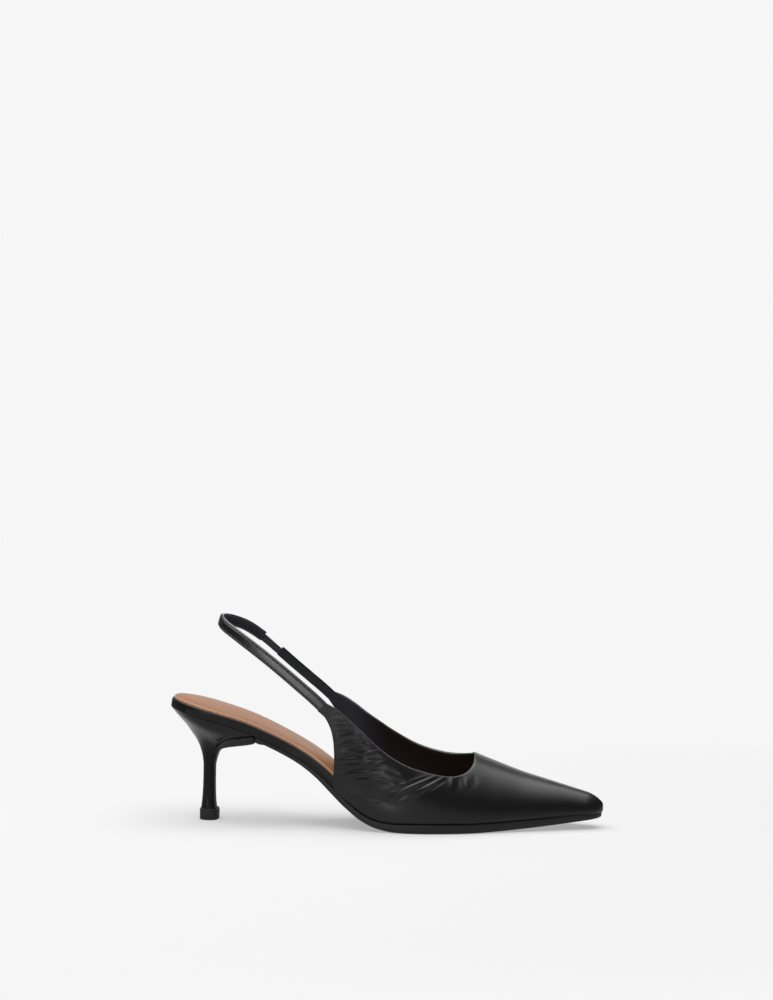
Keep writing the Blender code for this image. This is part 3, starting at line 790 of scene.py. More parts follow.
def upper_columns(side):
    """Start and end of each column of one side, as x and girth: on the topline, and on the lower edge."""
    middle, width, _ = strap_frame(LATERAL_SEAM if side < 0 else MEDIAL_ROOT)
    low, high = middle - width / 2, middle + width / 2
    toe = place(1) + UPPER_WALL
    fine = np.linspace(0, 1, 900)
    column = np.arange(SIDE_COLUMNS)
    top_at = looked_up(COLUMNS, "top", column)
    low_at = looked_up(COLUMNS, "low", column)
    top_x = np.append(high[0], place(TOPLINE["along"]))
    top_girth = np.append(girth_at(high[0], high[2], UPPER_WALL), TOPLINE[side_name(side)])
    run = run_along(np.stack([share(top_x), top_girth * GIRTH_WEIGHT], -1))
    run /= run[-1]
    start = along_edge(through(run, top_x, fine), through(run, top_girth, fine), side, top_at)
    edge_x = np.append(low[0], place(REAR_EDGE["along"]))
    edge_z = np.append(low[2], REAR_EDGE["height"] * SEAT_HEIGHT)
    edge_girth = np.append(girth_at(edge_x, edge_z, UPPER_WALL), 0)
    edge_x = np.append(edge_x, place(QUARTER_FOOT))
    at = np.linspace(0, 1, len(edge_x))
    edge_x, edge_girth = through(at, edge_x, fine), through(at, edge_girth, fine)
    rear = along_edge(edge_x, edge_girth, side, np.clip(low_at, 0, 1))
    foot_x = edge_x[-1] + (toe - edge_x[-1]) * np.sin(fine * np.pi / 2)
    foot = along_edge(foot_x, 0 * fine, side, np.clip(low_at - 1, 0, 1))
    nose = along_edge(toe + 0 * fine, fine, side, np.clip(low_at - 2, 0, 1))
    end_x, end_girth = np.where(low_at <= 1, rear, np.where(low_at <= 2, foot, nose))
    return *start, end_x, end_girth, low_at


def side_grid(side, grow, rows, inward=0.0):
    """Grid of one side, columns by rows from the topline down. The rows keep even near the quarter and
    follow a sine towards the nose, so that its rounding is covered. Inward keeps them that far from the
    topline and from the rear edge, but not from the foot."""
    top_x, top_girth, end_x, end_girth, low_at = upper_columns(side)
    toe_like = (np.arange(SIDE_COLUMNS) - TOE_COLUMNS[0]) / (TOE_COLUMNS[1] - TOE_COLUMNS[0])
    t = rows[None, :]
    t = t + (np.sin(t * np.pi / 2) - t) * eased(toe_like)[:, None]
    ends = wall_point(top_x, top_girth, side, UPPER_WALL) - wall_point(end_x, end_girth, side, UPPER_WALL)
    skip = inward / np.linalg.norm(ends, axis=1)[:, None]
    at_rear = 1 - eased((low_at - REAR_PART) / (1 - REAR_PART))[:, None]
    t = skip + (1 - skip - skip * at_rear) * t
    x = top_x[:, None] + (end_x - top_x)[:, None] * t
    girth = top_girth[:, None] + (end_girth - top_girth)[:, None] * t
    x = np.where(toe_rounded(x, grow) > 0, x, place(1) + grow)
    return wall_point(x, girth, side, grow)


def root_grid(grow, rows, inward=0.0):
    """Grid of the strap's front end, which is one piece with the medial quarter."""
    shares = np.linspace(MEDIAL_ROOT, ELASTIC_END, ROOT_COLUMNS + 1)
    middle, width, normal = strap_frame(shares)
    broad = np.linalg.norm(width, axis=1)[:, None]
    t = rows[None, :] + (1 - 2 * rows[None, :]) * inward / broad
    return middle[:, None] + width[:, None] * (0.5 - t)[..., None] + normal[:, None] * (grow - UPPER_WALL / 2)


def whole_wall(grow, rows, inward=0.0, root_inward=0.0):
    """Grid of the whole wall: the lateral side forwards, the medial side back, and the strap's front end.
    Over the last columns of the medial quarter it is led over to the strap's own surface."""
    lateral = side_grid(-1, grow, rows, inward)
    medial = side_grid(1, grow, rows, inward)[::-1][1:]
    root = root_grid(grow, rows, root_inward)
    drift = root[:1] - medial[-1:]
    lead = eased((np.arange(len(medial)) - len(medial) + 1) / ROOT_BLEND_COLUMNS + 1)[:, None, None]
    return np.concatenate([lateral, medial + drift * lead, root[1:]])


def wall_normals(grid):
    """Outward unit normals of the wall: the faces' normals summed at each point and at its twins."""
    points = grid.reshape(-1, 3)
    first, twin = welded(points)
    faces = twin[grid_faces(*grid.shape[:2])]
    corners = points[first][faces]
    facing = np.cross(corners[:, 1] - corners[:, 0], corners[:, 2] - corners[:, 0])
    total = np.zeros((len(first), 3))
    for corner in range(3):
        np.add.at(total, faces[:, corner], facing)
    normals = unit(total)[twin].reshape(grid.shape)
    return normals * np.sign((normals[..., 1] * np.sign(grid[..., 1])).sum())


def crease_height(points, creases):
    """Height of all creases at points in side view: bells across each line, faded at its ends as a sine."""
    x, z = points[..., 0] * 1e3, points[..., 2] * 1e3
    height = np.zeros(x.shape)
    for x0, z0, x1, z1, bend, wide, high in zip(*creases.values()):
        length = np.hypot(x1 - x0, z1 - z0)
        ahead, up = (x1 - x0) / length, (z1 - z0) / length
        run = ((x - x0) * ahead + (z - z0) * up) / length
        aside = (z - z0) * ahead - (x - x0) * up
        inside = np.clip(run, 0, 1)
        aside = aside - bend * np.sign(ahead) * 4 * inside * (1 - inside)
        reach = np.clip((run + CREASE_OVERRUN) / (1 + 2 * CREASE_OVERRUN), 0, 1)
        fade = np.sin(np.pi * reach) ** CREASE_FADE
        height += high * fade * np.exp(-((aside / wide / CREASE_SPREAD) ** 2))
    return height * CREASE_GAIN * 1e-3


def ruching(points):
    """Fine gathers: sine waves up the wall whose crests drift with x, each faded in and out by a slow sine,
    and the whole faded towards the vamp, the foot and the rear edge."""
    x, z = points[..., 0] * 1e3, points[..., 2] * 1e3
    over = z - seat_height(points[..., 0]) * 1e3
    height = np.zeros(x.shape)
    for high, pitch, slant, drift, drift_x, drift_z, slow_x, slow_z, phase in zip(*RUCHING.values()):
        wave = np.sin(2 * np.pi * (z + slant * x + drift * np.sin(x / drift_x + z / drift_z)) / pitch)
        height += high * wave * (0.5 + 0.5 * np.sin(x / slow_x + z / slow_z + phase))
    zone = eased((RUCHED_TO - x) / RUCHED_TO_FADE) * eased((over - RUCHED_OVER) / RUCHED_OVER_FADE)
    return height * zone * eased((x - RUCHED_FROM) / RUCHED_FROM_FADE) * 1e-3


row_shares = np.linspace(0, 1, UPPER_ROWS + 1)
skin = whole_wall(UPPER_WALL, row_shares, SKIN_INSET, ROOT_INSET)
skin_facing = wall_normals(skin)
skin_column = np.arange(len(skin))[:, None]
strap_root = skin_column > len(skin) - 1 - ROOT_COLUMNS
creased = [crease_height(skin, creases) for creases in (LATERAL_CREASES, MEDIAL_CREASES)]
creased = np.where(skin_column < SIDE_COLUMNS, *creased) + ruching(skin)
creased = creased * eased(skin_column / SEAM_SMOOTH) * eased(row_shares / EDGE_SMOOTH)
creased = np.where(strap_root, 0, creased)
over_foot = skin[..., 2] - seat_height(skin[..., 0])
tuck = FOOT_TUCK * np.clip(1 - over_foot / FOOT_TUCK_HEIGHT, 0, 1) ** 2
tuck = np.where(skin[..., 0] > place(QUARTER_FOOT) - FOOT_TUCK_MARGIN, tuck, 0)
skin = skin + skin_facing * (creased - tuck)[..., None]
inside_skin = whole_wall(0.0, row_shares, SKIN_INSET, ROOT_INSET)
hide = eased((row_shares - HIDDEN_FROM) / HIDDEN_FADE) * np.where(strap_root, HIDDEN_ROOT, 1)
inside_skin = inside_skin + wall_normals(inside_skin) * (hide * HIDDEN_DEPTH)[..., None]


def edge_path(grid):
    """The wall's free edge: back along the lateral foot, up, along the topline, down and forward again."""
    nose = SIDE_COLUMNS - NOSE_COLUMNS
    back = len(grid) - 1 - ROOT_COLUMNS
    medial_nose = 2 * (SIDE_COLUMNS - 1) - nose
    lateral = [grid[nose - 1 : 0 : -1, -1], grid[0, :0:-1]]
    medial = [grid[-1, :-1], grid[-1:back:-1, -1], grid[back : medial_nose - 1 : -1, -1]]
    return np.concatenate([*lateral, grid[:-1, 0], *medial])


def rolled_edge(outer, inner, bulge, steps=9):
    """Half a squared ellipse between the wall's two free edges, bulging out of the wall square to both."""
    half = (outer - inner) / 2
    away = unit(np.cross(half, np.gradient(outer, axis=0)))
    away *= np.linalg.norm(half, axis=1, keepdims=True) * bulge[:, None]
    turn = np.linspace(0, np.pi, steps + 1)[None, :, None]
    across = np.sign(np.cos(turn)) * np.abs(np.cos(turn)) ** EDGE_SQUARENESS
    out = np.abs(np.sin(turn)) ** EDGE_SQUARENESS
    middle = (outer + inner) / 2
    return middle[:, None] + half[:, None] * across + away[:, None] * out


edge_bulge = np.full(skin.shape[:2], EDGE_BULGE)
along_foot = np.concatenate([upper_columns(-1)[4], upper_columns(1)[4][::-1][1:], np.zeros(ROOT_COLUMNS)])
edge_bulge[along_foot >= 1, -1] = 0
edge_bulge[0, 1:-1] = 0
edge_bulge[-1] = ROOT_END_BULGE
rim = rolled_edge(edge_path(skin), edge_path(inside_skin), edge_path(edge_bulge))
upper_leather = leather_finish("upper_leather", (0.30, 0.44), cells=1700.0, depth=0.00004, coat=0.15)
upper_grids = [(skin, False), (inside_skin, True), (rim, True)]
upper = shoe_piece("upper_calf", upper_grids, upper_leather, sharp=75)
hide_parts("upper")


# Lining of the upper. Thin navy-black leather glued inside the calf, cut back from the folded edge, with
# its own skived edge showing as a fine line all along the topline.

LINING_THICKNESS = 0.0004
LINING_PROUD = 0.00012
LINING_BULGE = 0.9
LINING_INSET, LINING_ROOT_INSET = 0.0013, 0.0010

lining_face = whole_wall(0.0, np.linspace(0, 1, 34), LINING_INSET, LINING_ROOT_INSET)
lining_facing = wall_normals(lining_face)
lining_face = lining_face - lining_facing * LINING_PROUD
lining_back = lining_face + lining_facing * LINING_THICKNESS
lining_path = edge_path(lining_back)
lining_rim = rolled_edge(lining_path, edge_path(lining_face), np.full(len(lining_path), LINING_BULGE), 5)
lining_leather = leather_finish(
    "lining_leather",
    gloss=(0.48, 0.66),
    cells=1300.0,
    depth=0.00003,
    coat=0.0,
    dark=(0.0095, 0.0108, 0.0150, 1),
    light=(0.0135, 0.0150, 0.0205, 1),
)
lining_grids = [(lining_back, False), (lining_face, True), (lining_rim, True)]
lining = shoe_piece("upper_lining", lining_grids, lining_leather, sharp=75)


# Heel strap. A strip of the same calf, folded round a narrow tape and lined, that runs from the lateral
# quarter round the heel to the elastic. A row of stitches runs near each edge.

STRAP_SWELL = 0.00015
STRAP_ROUND = 0.9
STITCH_INSET = 0.0012
STITCH_GROOVE = 0.00025
STITCH_GROOVE_HALF = 0.00030
SEAM_TUCK = 0.0042
SEAM_LEAD = 24
SEAM_END = 0.8
TAPE_SHARES = (LATERAL_SEAM + 0.002, ELASTIC_START - 0.006)

# Section of the lining tape on the strap's inner face, in millimetres
TAPE_SECTION = table(
    "across out",
    """
    -2.1 -0.95
     2.1 -0.95
     2.2 -1.05
     2.0 -1.18
    -2.0 -1.18
    -2.2 -1.05
    -2.1 -0.95
    """,
)


def strap_section(broad, thick, across=30, steps=10):
    """Section of the strap, as distances across and out. The outer face swells a little and sinks at the
    two stitch lines, the edges are half rounds, and the inner face is flat."""
    half, deep = broad / 2, thick / 2
    radius = deep * STRAP_ROUND
    flat = half - radius
    face = np.linspace(-flat, flat, across + 1)
    groove = np.exp(-(((half - np.abs(face) - STITCH_INSET) / STITCH_GROOVE_HALF) ** 2))
    out = deep + STRAP_SWELL * (1 - (face / half) ** 2) - STITCH_GROOVE * groove
    turn = np.linspace(np.pi / 2, -np.pi / 2, steps + 1)[1:-1]
    right = np.stack([flat + radius * np.cos(turn), deep * np.sin(turn)], -1)
    top = np.stack([face, out], -1)
    inner = np.stack([face[::-1], 0 * face - deep], -1)
    return np.concatenate([top, right, inner, (right * [-1, 1])[::-1], top[:1]])


def carried(shares, section, broad):
    """A closed section carried along the strap's path, scaled in width with the strap, with its two ends
    drawn together to their middles."""
    middle, width, normal = strap_frame(shares)
    part = section[None, :, :1] / broad
    grid = middle[:, None] + width[:, None] * part + normal[:, None] * section[None, :, 1:]
    return np.concatenate([drawn_together(grid[0]), grid, drawn_together(grid[-1])])


strap_shares = np.append(LATERAL_SEAM - SEAM_TUCK, np.linspace(LATERAL_SEAM, ELASTIC_START, 300))
section = strap_section(STRAP_WIDTH, UPPER_WALL)
strap_grid = carried(strap_shares, section, STRAP_WIDTH)
strap_grid[1] = strap_grid[0] + (strap_grid[1] - strap_grid[0]) * SEAM_END
first_x, first_girth, last_x, last_girth, _ = (line[:1] for line in upper_columns(-1))
seam_middle, seam_width, seam_normal = strap_frame(LATERAL_SEAM)
seam_face = seam_middle + seam_normal * UPPER_WALL / 2
high_drift = wall_point(first_x, first_girth, -1, UPPER_WALL)[0] - seam_face - seam_width / 2
low_drift = wall_point(last_x, last_girth, -1, UPPER_WALL)[0] - seam_face + seam_width / 2
strap_lead = 1 - eased((np.arange(len(strap_grid)) - 2) / SEAM_LEAD)
seam_share = (section[:, :1] / STRAP_WIDTH + 0.5)[None]
strap_grid += strap_lead[:, None, None] * (low_drift + (high_drift - low_drift) * seam_share)
strap_leather = leather_finish("strap_leather", (0.28, 0.42), cells=1500.0, depth=0.00011, coat=0.9)
strap = shoe_piece("heel_strap", [(strap_grid, False)], strap_leather, sharp=60)
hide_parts("back_strap")

tape_section = np.stack(list(TAPE_SECTION.values()), -1) * 1e-3
tape_grid = carried(np.linspace(*TAPE_SHARES, 260), tape_section, STRAP_WIDTH)
tape = shoe_piece("strap_lining", [(tape_grid, False)], lining_leather)


# Stitching. Black thread in short stitches along both edges of the strap and down the rear edges of the
# quarters, each stitch sunk a little into the calf.

STITCH_LEVEL = UPPER_WALL / 2 - 0.0001
STITCH_PITCH = 0.0026
STITCH_LENGTH = 0.0019
STITCH_PROUD, STITCH_DIP = 0.15, 0.00012
THREAD_RADIUS = 0.00020
STRAP_LINE = (LATERAL_SEAM + 0.004, ELASTIC_START - 0.004)
ROOT_LINE = (ELASTIC_END + 0.006, MEDIAL_ROOT - 0.01)
LINE_LEAD = 32
REAR_LINE_INSET = 0.0014
REAR_LINE_COLUMNS = (2, 35)
THREAD_DARK, THREAD_LIGHT = (0.008, 0.008, 0.008, 1), (0.022, 0.022, 0.022, 1)


def stitch_row(line, facing):
    """Stitches along a line of points: spindles whose radius is the square root of a half ellipse of their
    length, one for each pitch, as one array of rings."""
    run = run_along(line)
    count = int(run[-1] / STITCH_PITCH)
    centre = (np.arange(count) + 0.5) * run[-1] / count
    part = np.linspace(-1, 1, 7)
    at = centre[:, None] + part[None] * STITCH_LENGTH / 2
    middle = np.stack([np.interp(at, run, line[:, k]) for k in range(3)], -1)
    out = unit(np.stack([np.interp(at, run, facing[:, k]) for k in range(3)], -1))
    aside = np.cross(unit(np.gradient(middle, axis=1)), out)
    fat = THREAD_RADIUS * np.sqrt(1 - part**2 + 1e-12)
    middle = middle + out * (THREAD_RADIUS * STITCH_PROUD - STITCH_DIP * part**2)[None, :, None]
    turn = np.linspace(0, 2 * np.pi, 7)
    ring = aside[:, :, None] * np.cos(turn)[:, None] + out[:, :, None] * np.sin(turn)[:, None]
    return middle[:, :, None] + ring * fat[None, :, None, None]


def strap_stitches(shares, edge, side, drift=0.0):
    """A row of stitches on the strap's outer face, at a share of its width to one side of its middle."""
    middle, width, normal = strap_frame(shares)
    return stitch_row(middle + width * edge * side + normal * STITCH_LEVEL + drift, normal)


def beside_rear_edge(columns):
    """A row of stitches on the skin at their inset from the quarter's rear edge."""
    edge = skin[columns, -1]
    inward = unit(skin[columns, -4] - edge)
    return stitch_row(edge + inward * REAR_LINE_INSET, skin_facing[columns, -2])


line_shares = np.linspace(*STRAP_LINE, 400)
line_lead = (1 - eased(np.arange(400) / LINE_LEAD))[:, None]
line_edge = (STRAP_WIDTH / 2 - STITCH_INSET) / STRAP_WIDTH
root_shares = np.linspace(*ROOT_LINE, 200)
root_edge = 0.5 - STITCH_INSET / np.linalg.norm(strap_frame(root_shares)[1], axis=1, keepdims=True)
rear_columns = np.arange(*REAR_LINE_COLUMNS)
stitches = [
    strap_stitches(line_shares, line_edge, -1, line_lead * low_drift),
    strap_stitches(line_shares, line_edge, 1, line_lead * high_drift),
    strap_stitches(root_shares, root_edge, -1),
    strap_stitches(root_shares, root_edge, 1),
    beside_rear_edge(rear_columns),
    beside_rear_edge(2 * (SIDE_COLUMNS - 1) - rear_columns[::-1]),
]
thread_finish, tree, shader, spot = new_finish("black_thread", {"Roughness": 0.7})
twist = noise(tree, spot, 6000.0)["Fac"]
tinted(tree, shader, twist, THREAD_DARK, THREAD_LIGHT)
bumped(tree, shader, twist, strength=0.6, depth=0.00004)
stitches = [(stitch, False) for stitch in np.concatenate(stitches)]
thread = shoe_piece("stitching", stitches, thread_finish)


# Elastic. A short band of woven rubber cords that joins the strap's two leather ends on the medial side
# and lets the heel in. It is narrower and thinner than the strap and is stitched between its layers.

ELASTIC_WIDTH = 0.0045
ELASTIC_DROP = 0.00045
ELASTIC_THICKNESS = 0.0012
ELASTIC_CORDS = 7
ELASTIC_GROOVE = 0.28
ELASTIC_TUCK = 0.012
WEFT_SWELL, WEFT_ROWS = 0.05, 1.6
ELASTIC_DARK, ELASTIC_LIGHT = (0.006, 0.006, 0.008, 1), (0.030, 0.030, 0.034, 1)


def elastic_section(wide, thick):
    """Section of the elastic: a flat band whose two faces rise and fall as cosines, one for each cord."""
    face = np.linspace(-wide / 2, wide / 2, ELASTIC_CORDS * 8 + 1)
    cords = 0.5 - 0.5 * np.cos(face / wide * ELASTIC_CORDS * 2 * np.pi)
    out = thick / 2 * (1 - ELASTIC_GROOVE + ELASTIC_GROOVE * cords)
    both = np.concatenate([np.stack([face, out], -1), np.stack([face[::-1], -out[::-1]], -1)])
    both[:, 0] -= ELASTIC_DROP
    return np.concatenate([both, both[:1]])


elastic_shares = np.linspace(ELASTIC_START - ELASTIC_TUCK, ELASTIC_END + ELASTIC_TUCK, 150)
elastic_grid = carried(elastic_shares, elastic_section(ELASTIC_WIDTH, ELASTIC_THICKNESS), STRAP_WIDTH)
weft = 1 + WEFT_SWELL * np.sin(np.arange(len(elastic_grid)) * np.pi / WEFT_ROWS)
elastic_middle = elastic_grid.mean(axis=1, keepdims=True)
elastic_grid = elastic_middle + (elastic_grid - elastic_middle) * weft[:, None, None]
elastic_slots = {"Roughness": 0.85, "Sheen Weight": 0.25, "Sheen Roughness": 0.4}
elastic_finish, tree, shader, spot = new_finish("woven_elastic", elastic_slots)
weave = noise(tree, spot, 3500.0)["Fac"]
tinted(tree, shader, weave, ELASTIC_DARK, ELASTIC_LIGHT)
bumped(tree, shader, weave, strength=0.7, depth=0.0001)
elastic = shoe_piece("elastic_band", [(elastic_grid, False)], elastic_finish)
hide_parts("strap_elastic")


# Outsole. Thin leather from the toe to the heel's breast, glued under the lasted upper. Its edge is
# trimmed, tucked in towards the ground and painted black, and the forefoot is scored for grip.

OUTSOLE_LEDGE = 0.0021
OUTSOLE_BEVEL = 0.0018
BREAST_REACH = 0.0285
END_PAD = 0.0009
END_PAD_REACH = 0.0345
END_PAD_FADE = 0.0030
END_SLANT = 0.2
SOLE_SEATING = FIT_GAP * 0.2
SOLE_DARK, SOLE_LIGHT = (0.0060, 0.0056, 0.0056, 1), (0.014, 0.0135, 0.013, 1)
SCORED_FACING = (-0.93, -0.985)

# Edge of the outsole from the ground up: share of the bevel that it is tucked in, and share of its depth
SOLE_EDGE = table(
    "at tuck down",
    """
    0.0 1.00 1.00
    0.3 0.45 0.90
    0.5 0.12 0.70
    0.7 0.00 0.45
    0.9 0.02 0.12
    1.0 0.12 0.00
    """,
)


def sole_ring(tuck, part):
    """Ring of the outsole at a part of its depth, standing out by the ledge less the tuck."""

    def grown(x):
        """How far it stands out at x."""
        ledge = looked_up(OUTSOLE, "ledge", share(x)) * OUTSOLE_LEDGE
        return ledge - OUTSOLE_BEVEL * tuck * outsole_thickness(x) / OUTSOLE_THICKNESS

    def level(x):
        """How far under the seat line it lies at x."""
        pad = END_PAD * eased((END_PAD_REACH - x) / END_PAD_FADE)
        return SOLE_SEATING * (part - 1) - (outsole_thickness(x) + pad) * part

    return grown, level


edge_at = np.linspace(0, 1, 15)
edge_tuck = looked_up(SOLE_EDGE, "tuck", edge_at)
edge_down = looked_up(SOLE_EDGE, "down", edge_at)
sole_rings = [sole_ring(tuck_in, part) for tuck_in, part in zip(edge_tuck, edge_down)]
sole_grid = layer(sole_rings, start=BREAST_REACH + SOLE_SEATING, slant=END_SLANT)
sole_grid = np.concatenate([drawn_together(sole_grid[0]), sole_grid])
sole_finish, tree, shader, spot = new_finish("painted_sole", {"Specular IOR Level": 0.25})
film = film_at(tree, spot, scratches=0.5)
tinted(tree, shader, film, SOLE_DARK, SOLE_LIGHT)
glossed(tree, shader, film, 0.38, 0.60)
bands = {"wave_type": "BANDS", "bands_direction": "DIAGONAL", "wave_profile": "TRI"}
scoring = add_node(tree, "ShaderNodeTexWave", bands, {"Vector": spot, "Scale": 180.0}).outputs["Fac"]
facing = add_node(tree, "ShaderNodeNewGeometry").outputs["Normal"]
facing = add_node(tree, "ShaderNodeSeparateXYZ", None, {0: facing}).outputs["Z"]
under = {"Value": facing, "From Min": SCORED_FACING[0], "From Max": SCORED_FACING[1]}
under = add_node(tree, "ShaderNodeMapRange", None, under).outputs["Result"]
bumped(tree, shader, product(tree, scoring, under), strength=0.6, depth=0.0004)
sole = shoe_piece("outsole_leather", [(sole_grid, False)], sole_finish, sharp=40)
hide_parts("outsole")


# Heel. A moulded block lacquered black and gloss, flared from a slim stem to the seat, with a hollowed
# breast whose lip reaches forward under the shank. It is screwed on through the board from inside.

STEM_BACK = 0.0039
STEM_FRONT = 0.0031
STEM_HALF_WIDTH = 0.0057
STEM_POWER = 2.6
HEEL_INSET = 0.0006
TOP_PIECE_HEIGHT = 0.0064
BREAST_RECESS = 0.00030
BREAST_GROOVE = 0.00105
GROOVE_HALF = 2.3
BREAST_FADE = 34.0
HEEL_COAT = 0.2
HEEL_ROUGHNESS = (0.14, 0.34)
DULL_ROUGHNESS = 0.80
STEM_DULLNESS = 0.75
STEM_ROWS = (0.38, 0.62)
BREAST_LINE_FADE = 0.1
FRONT_TURNS = ((90, 67, 14), (66.4, 45, 38), (44, 0, 26))
HEEL_SEATING = FIT_GAP * 0.3
HEEL_DARK, HEEL_LIGHT = (0.0012, 0.0011, 0.0012, 1), (0.0030, 0.0027, 0.0027, 1)

# Heel rings from the top piece up to the seat: how high and how far out its back and its breast have come
HEEL_SHAPE = table(
    "back_rise back_reach breast_rise breast_reach width",
    """
    0.000 0.060 0.000 0.032 0.055
    0.100 0.028 0.130 0.010 0.016
    0.257 0.004 0.340 0.000 0.000
    0.410 0.000 0.540 0.000 0.010
    0.494 0.022 0.640 0.026 0.052
    0.579 0.083 0.730 0.076 0.135
    0.668 0.200 0.803 0.165 0.276
    0.751 0.372 0.834 0.317 0.460
    0.836 0.560 0.855 0.538 0.676
    0.905 0.748 0.876 0.780 0.850
    0.958 0.894 0.905 0.965 0.950
    1.000 1.000 1.000 1.000 1.000
    """,
)

# Heel from its side round to the breast: turn in degrees, and the seat's corner that it reaches there
BREAST_CORNER = table(
    "turn ahead aside",
    """
     0 1.00 0.00
    13 1.00 0.31
    26 1.00 0.62
    38 1.00 0.93
    48 0.95 0.99
    60 0.68 1.00
    74 0.34 1.00
    90 0.00 1.00
    """,
)

# Crisp line between the heel's side and its breast: the turn in degrees at which it crosses each row
BREAST_LINE = table(
    "row turn",
    """
    0.46 61.0
    0.60 60.5
    0.71 63.0
    0.81 63.5
    0.87 61.8
    0.92 58.2
    0.96 53.5
    1.00 47.5
    """,
)


def breast_line(corner, row):
    """How far each point lies under the breast's line, and how near to it, both from 0 to 1."""
    line = looked_up(BREAST_LINE, "turn", row)[:, None]
    shown = eased((row[:, None] - BREAST_LINE["row"][0]) / BREAST_LINE_FADE)
    under = eased((line - corner) / GROOVE_HALF / 2 + 0.5) * eased(corner / BREAST_FADE)
    return under * shown, np.exp(-(((corner - line) / GROOVE_HALF) ** 2)) * shown


def stem_ring(turn, back, front, half):
    """Superellipse round the stem's axis at the given turns, longer to one side of the axis."""
    ahead, aside = np.cos(turn), np.sin(turn)
    x = np.sign(ahead) * np.abs(ahead) ** (2 / STEM_POWER) * np.where(ahead < 0, back, front)
    return x, half * np.abs(aside) ** (2 / STEM_POWER)


def heel_surface(turn, row):
    """Lateral half of the heel at turns round it and rows up it: the stem's superellipse led out to the
    seat's outline by the shape table, less the breast's recess. With it go the middle line across and how
    near each point is to the breast's line."""
    behind_side = turn > np.pi / 2
    corner = np.degrees(np.clip(turn, 0, np.pi / 2))
    ahead = looked_up(BREAST_CORNER, "ahead", corner) * BREAST_REACH
    aside = looked_up(BREAST_CORNER, "aside", corner)
    seat_x = np.where(behind_side, (place(0) + HEEL_INSET) * np.sin(turn - np.pi / 2), ahead)
    seat_middle, half = outline_sides(seat_x)
    seat_wide = (half - HEEL_INSET) * heel_rounded(seat_x, -HEEL_INSET) * np.where(behind_side, 1, aside)
    stem_x, stem_y = stem_ring(turn, STEM_BACK, STEM_FRONT, STEM_HALF_WIDTH)
    at = np.linspace(0, 1, len(HEEL_SHAPE["width"]))
    shape = {name: through(at, HEEL_SHAPE[name], row)[:, None] for name in HEEL_SHAPE}
    reach = np.where(behind_side, shape["back_reach"], shape["breast_reach"])
    behind = (1 - np.cos(turn)) / 2
    rise = shape["back_rise"] * behind + shape["breast_rise"] * (1 - behind)
    lean, up = seat_normal(seat_x)
    top_x, top_z = seat_x - lean * HEEL_SEATING, seat_height(seat_x) - up * HEEL_SEATING
    foot = TOP_PIECE_HEIGHT + HEEL_SEATING
    x = stem_x + (seat_x - stem_x) * reach + (top_x - seat_x) * rise
    z = foot + (top_z - foot) * rise
    wide = stem_y + (seat_wide - stem_y) * shape["width"]
    under, groove = breast_line(corner, row)
    wide = wide - BREAST_RECESS * under - BREAST_GROOVE * groove
    middle = seat_middle * shape["width"]
    return np.stack([x, middle - wide, z], -1), middle, groove


def both_halves(near, far):
    """Rows of the lateral half joined to those of the medial half, turned round to go on from it."""
    return np.concatenate([near, far[:, ::-1][:, 1:]], 1)


front_turns = np.concatenate([np.linspace(*run) for run in FRONT_TURNS])
turns = np.concatenate([np.linspace(np.pi, np.pi / 2, 44)[:-1], np.radians(front_turns)])
heel_rows = np.linspace(0, 1, 100)
near_half, heel_middle, in_line = heel_surface(turns, heel_rows)
far_half = near_half.copy()
far_half[..., 1] = 2 * heel_middle - near_half[..., 1]
heel_ring = both_halves(near_half, far_half)
spine = near_half[-1:].copy()
spine[..., 1] = heel_middle[-1]
heel_grid = np.concatenate([drawn_together(heel_ring[0]), heel_ring, both_halves(spine, spine)])
stem_part = eased((heel_rows[:, None] - STEM_ROWS[0]) / (STEM_ROWS[1] - STEM_ROWS[0]))
unpolished = np.maximum(in_line, STEM_DULLNESS * (1 - stem_part))
dull_marks = np.full(heel_grid.shape[:2], STEM_DULLNESS)
dull_marks[1:-1] = both_halves(unpolished, unpolished)
heel_slots = {"Coat Roughness": 0.10, "Specular IOR Level": 0.18}
heel_finish, tree, shader, spot = new_finish("heel_lacquer", heel_slots)
film = film_at(tree, spot, scratches=0.35)
tinted(tree, shader, film, HEEL_DARK, HEEL_LIGHT)
dull = attribute(tree, "unpolished")
heel_gloss = {"Factor": dull, 2: scaled(tree, film, *HEEL_ROUGHNESS), 3: DULL_ROUGHNESS}
heel_gloss = add_node(tree, "ShaderNodeMix", {"data_type": "FLOAT"}, heel_gloss).outputs[0]
tree.links.new(heel_gloss, shader.inputs["Roughness"])
tree.links.new(scaled(tree, dull, HEEL_COAT, 0.0), shader.inputs["Coat Weight"])
bumped(tree, shader, noise(tree, spot, 380.0)["Fac"], strength=0.15, depth=0.0001)
heel = shoe_piece("heel_block", [(heel_grid, False)], heel_finish, {"unpolished": dull_marks}, sharp=32)
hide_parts("heel")


# Top piece. A hard rubber lift pinned under the stem, a little wider than it, with its edges broken. It
# takes the heel's wear, so it is the piece that is renewed.

TOP_PIECE_BACK = 0.0057
TOP_PIECE_FRONT = 0.0054
TOP_PIECE_HALF_WIDTH = 0.0076
TOP_PIECE_BEVEL = 0.0006
LIFT_DARK, LIFT_LIGHT = (0.0075, 0.0070, 0.0070, 1), (0.016, 0.0155, 0.015, 1)


def lift_ring(level, less):
    """Whole ring of the lift at a level, drawn in by less."""
    turn = np.linspace(0, 2 * np.pi, 97)
    x, wide = stem_ring(turn, TOP_PIECE_BACK - less, TOP_PIECE_FRONT - less, TOP_PIECE_HALF_WIDTH - less)
    return np.stack([x, wide * np.sign(np.sin(turn) + 1e-12), 0 * x + level], -1)


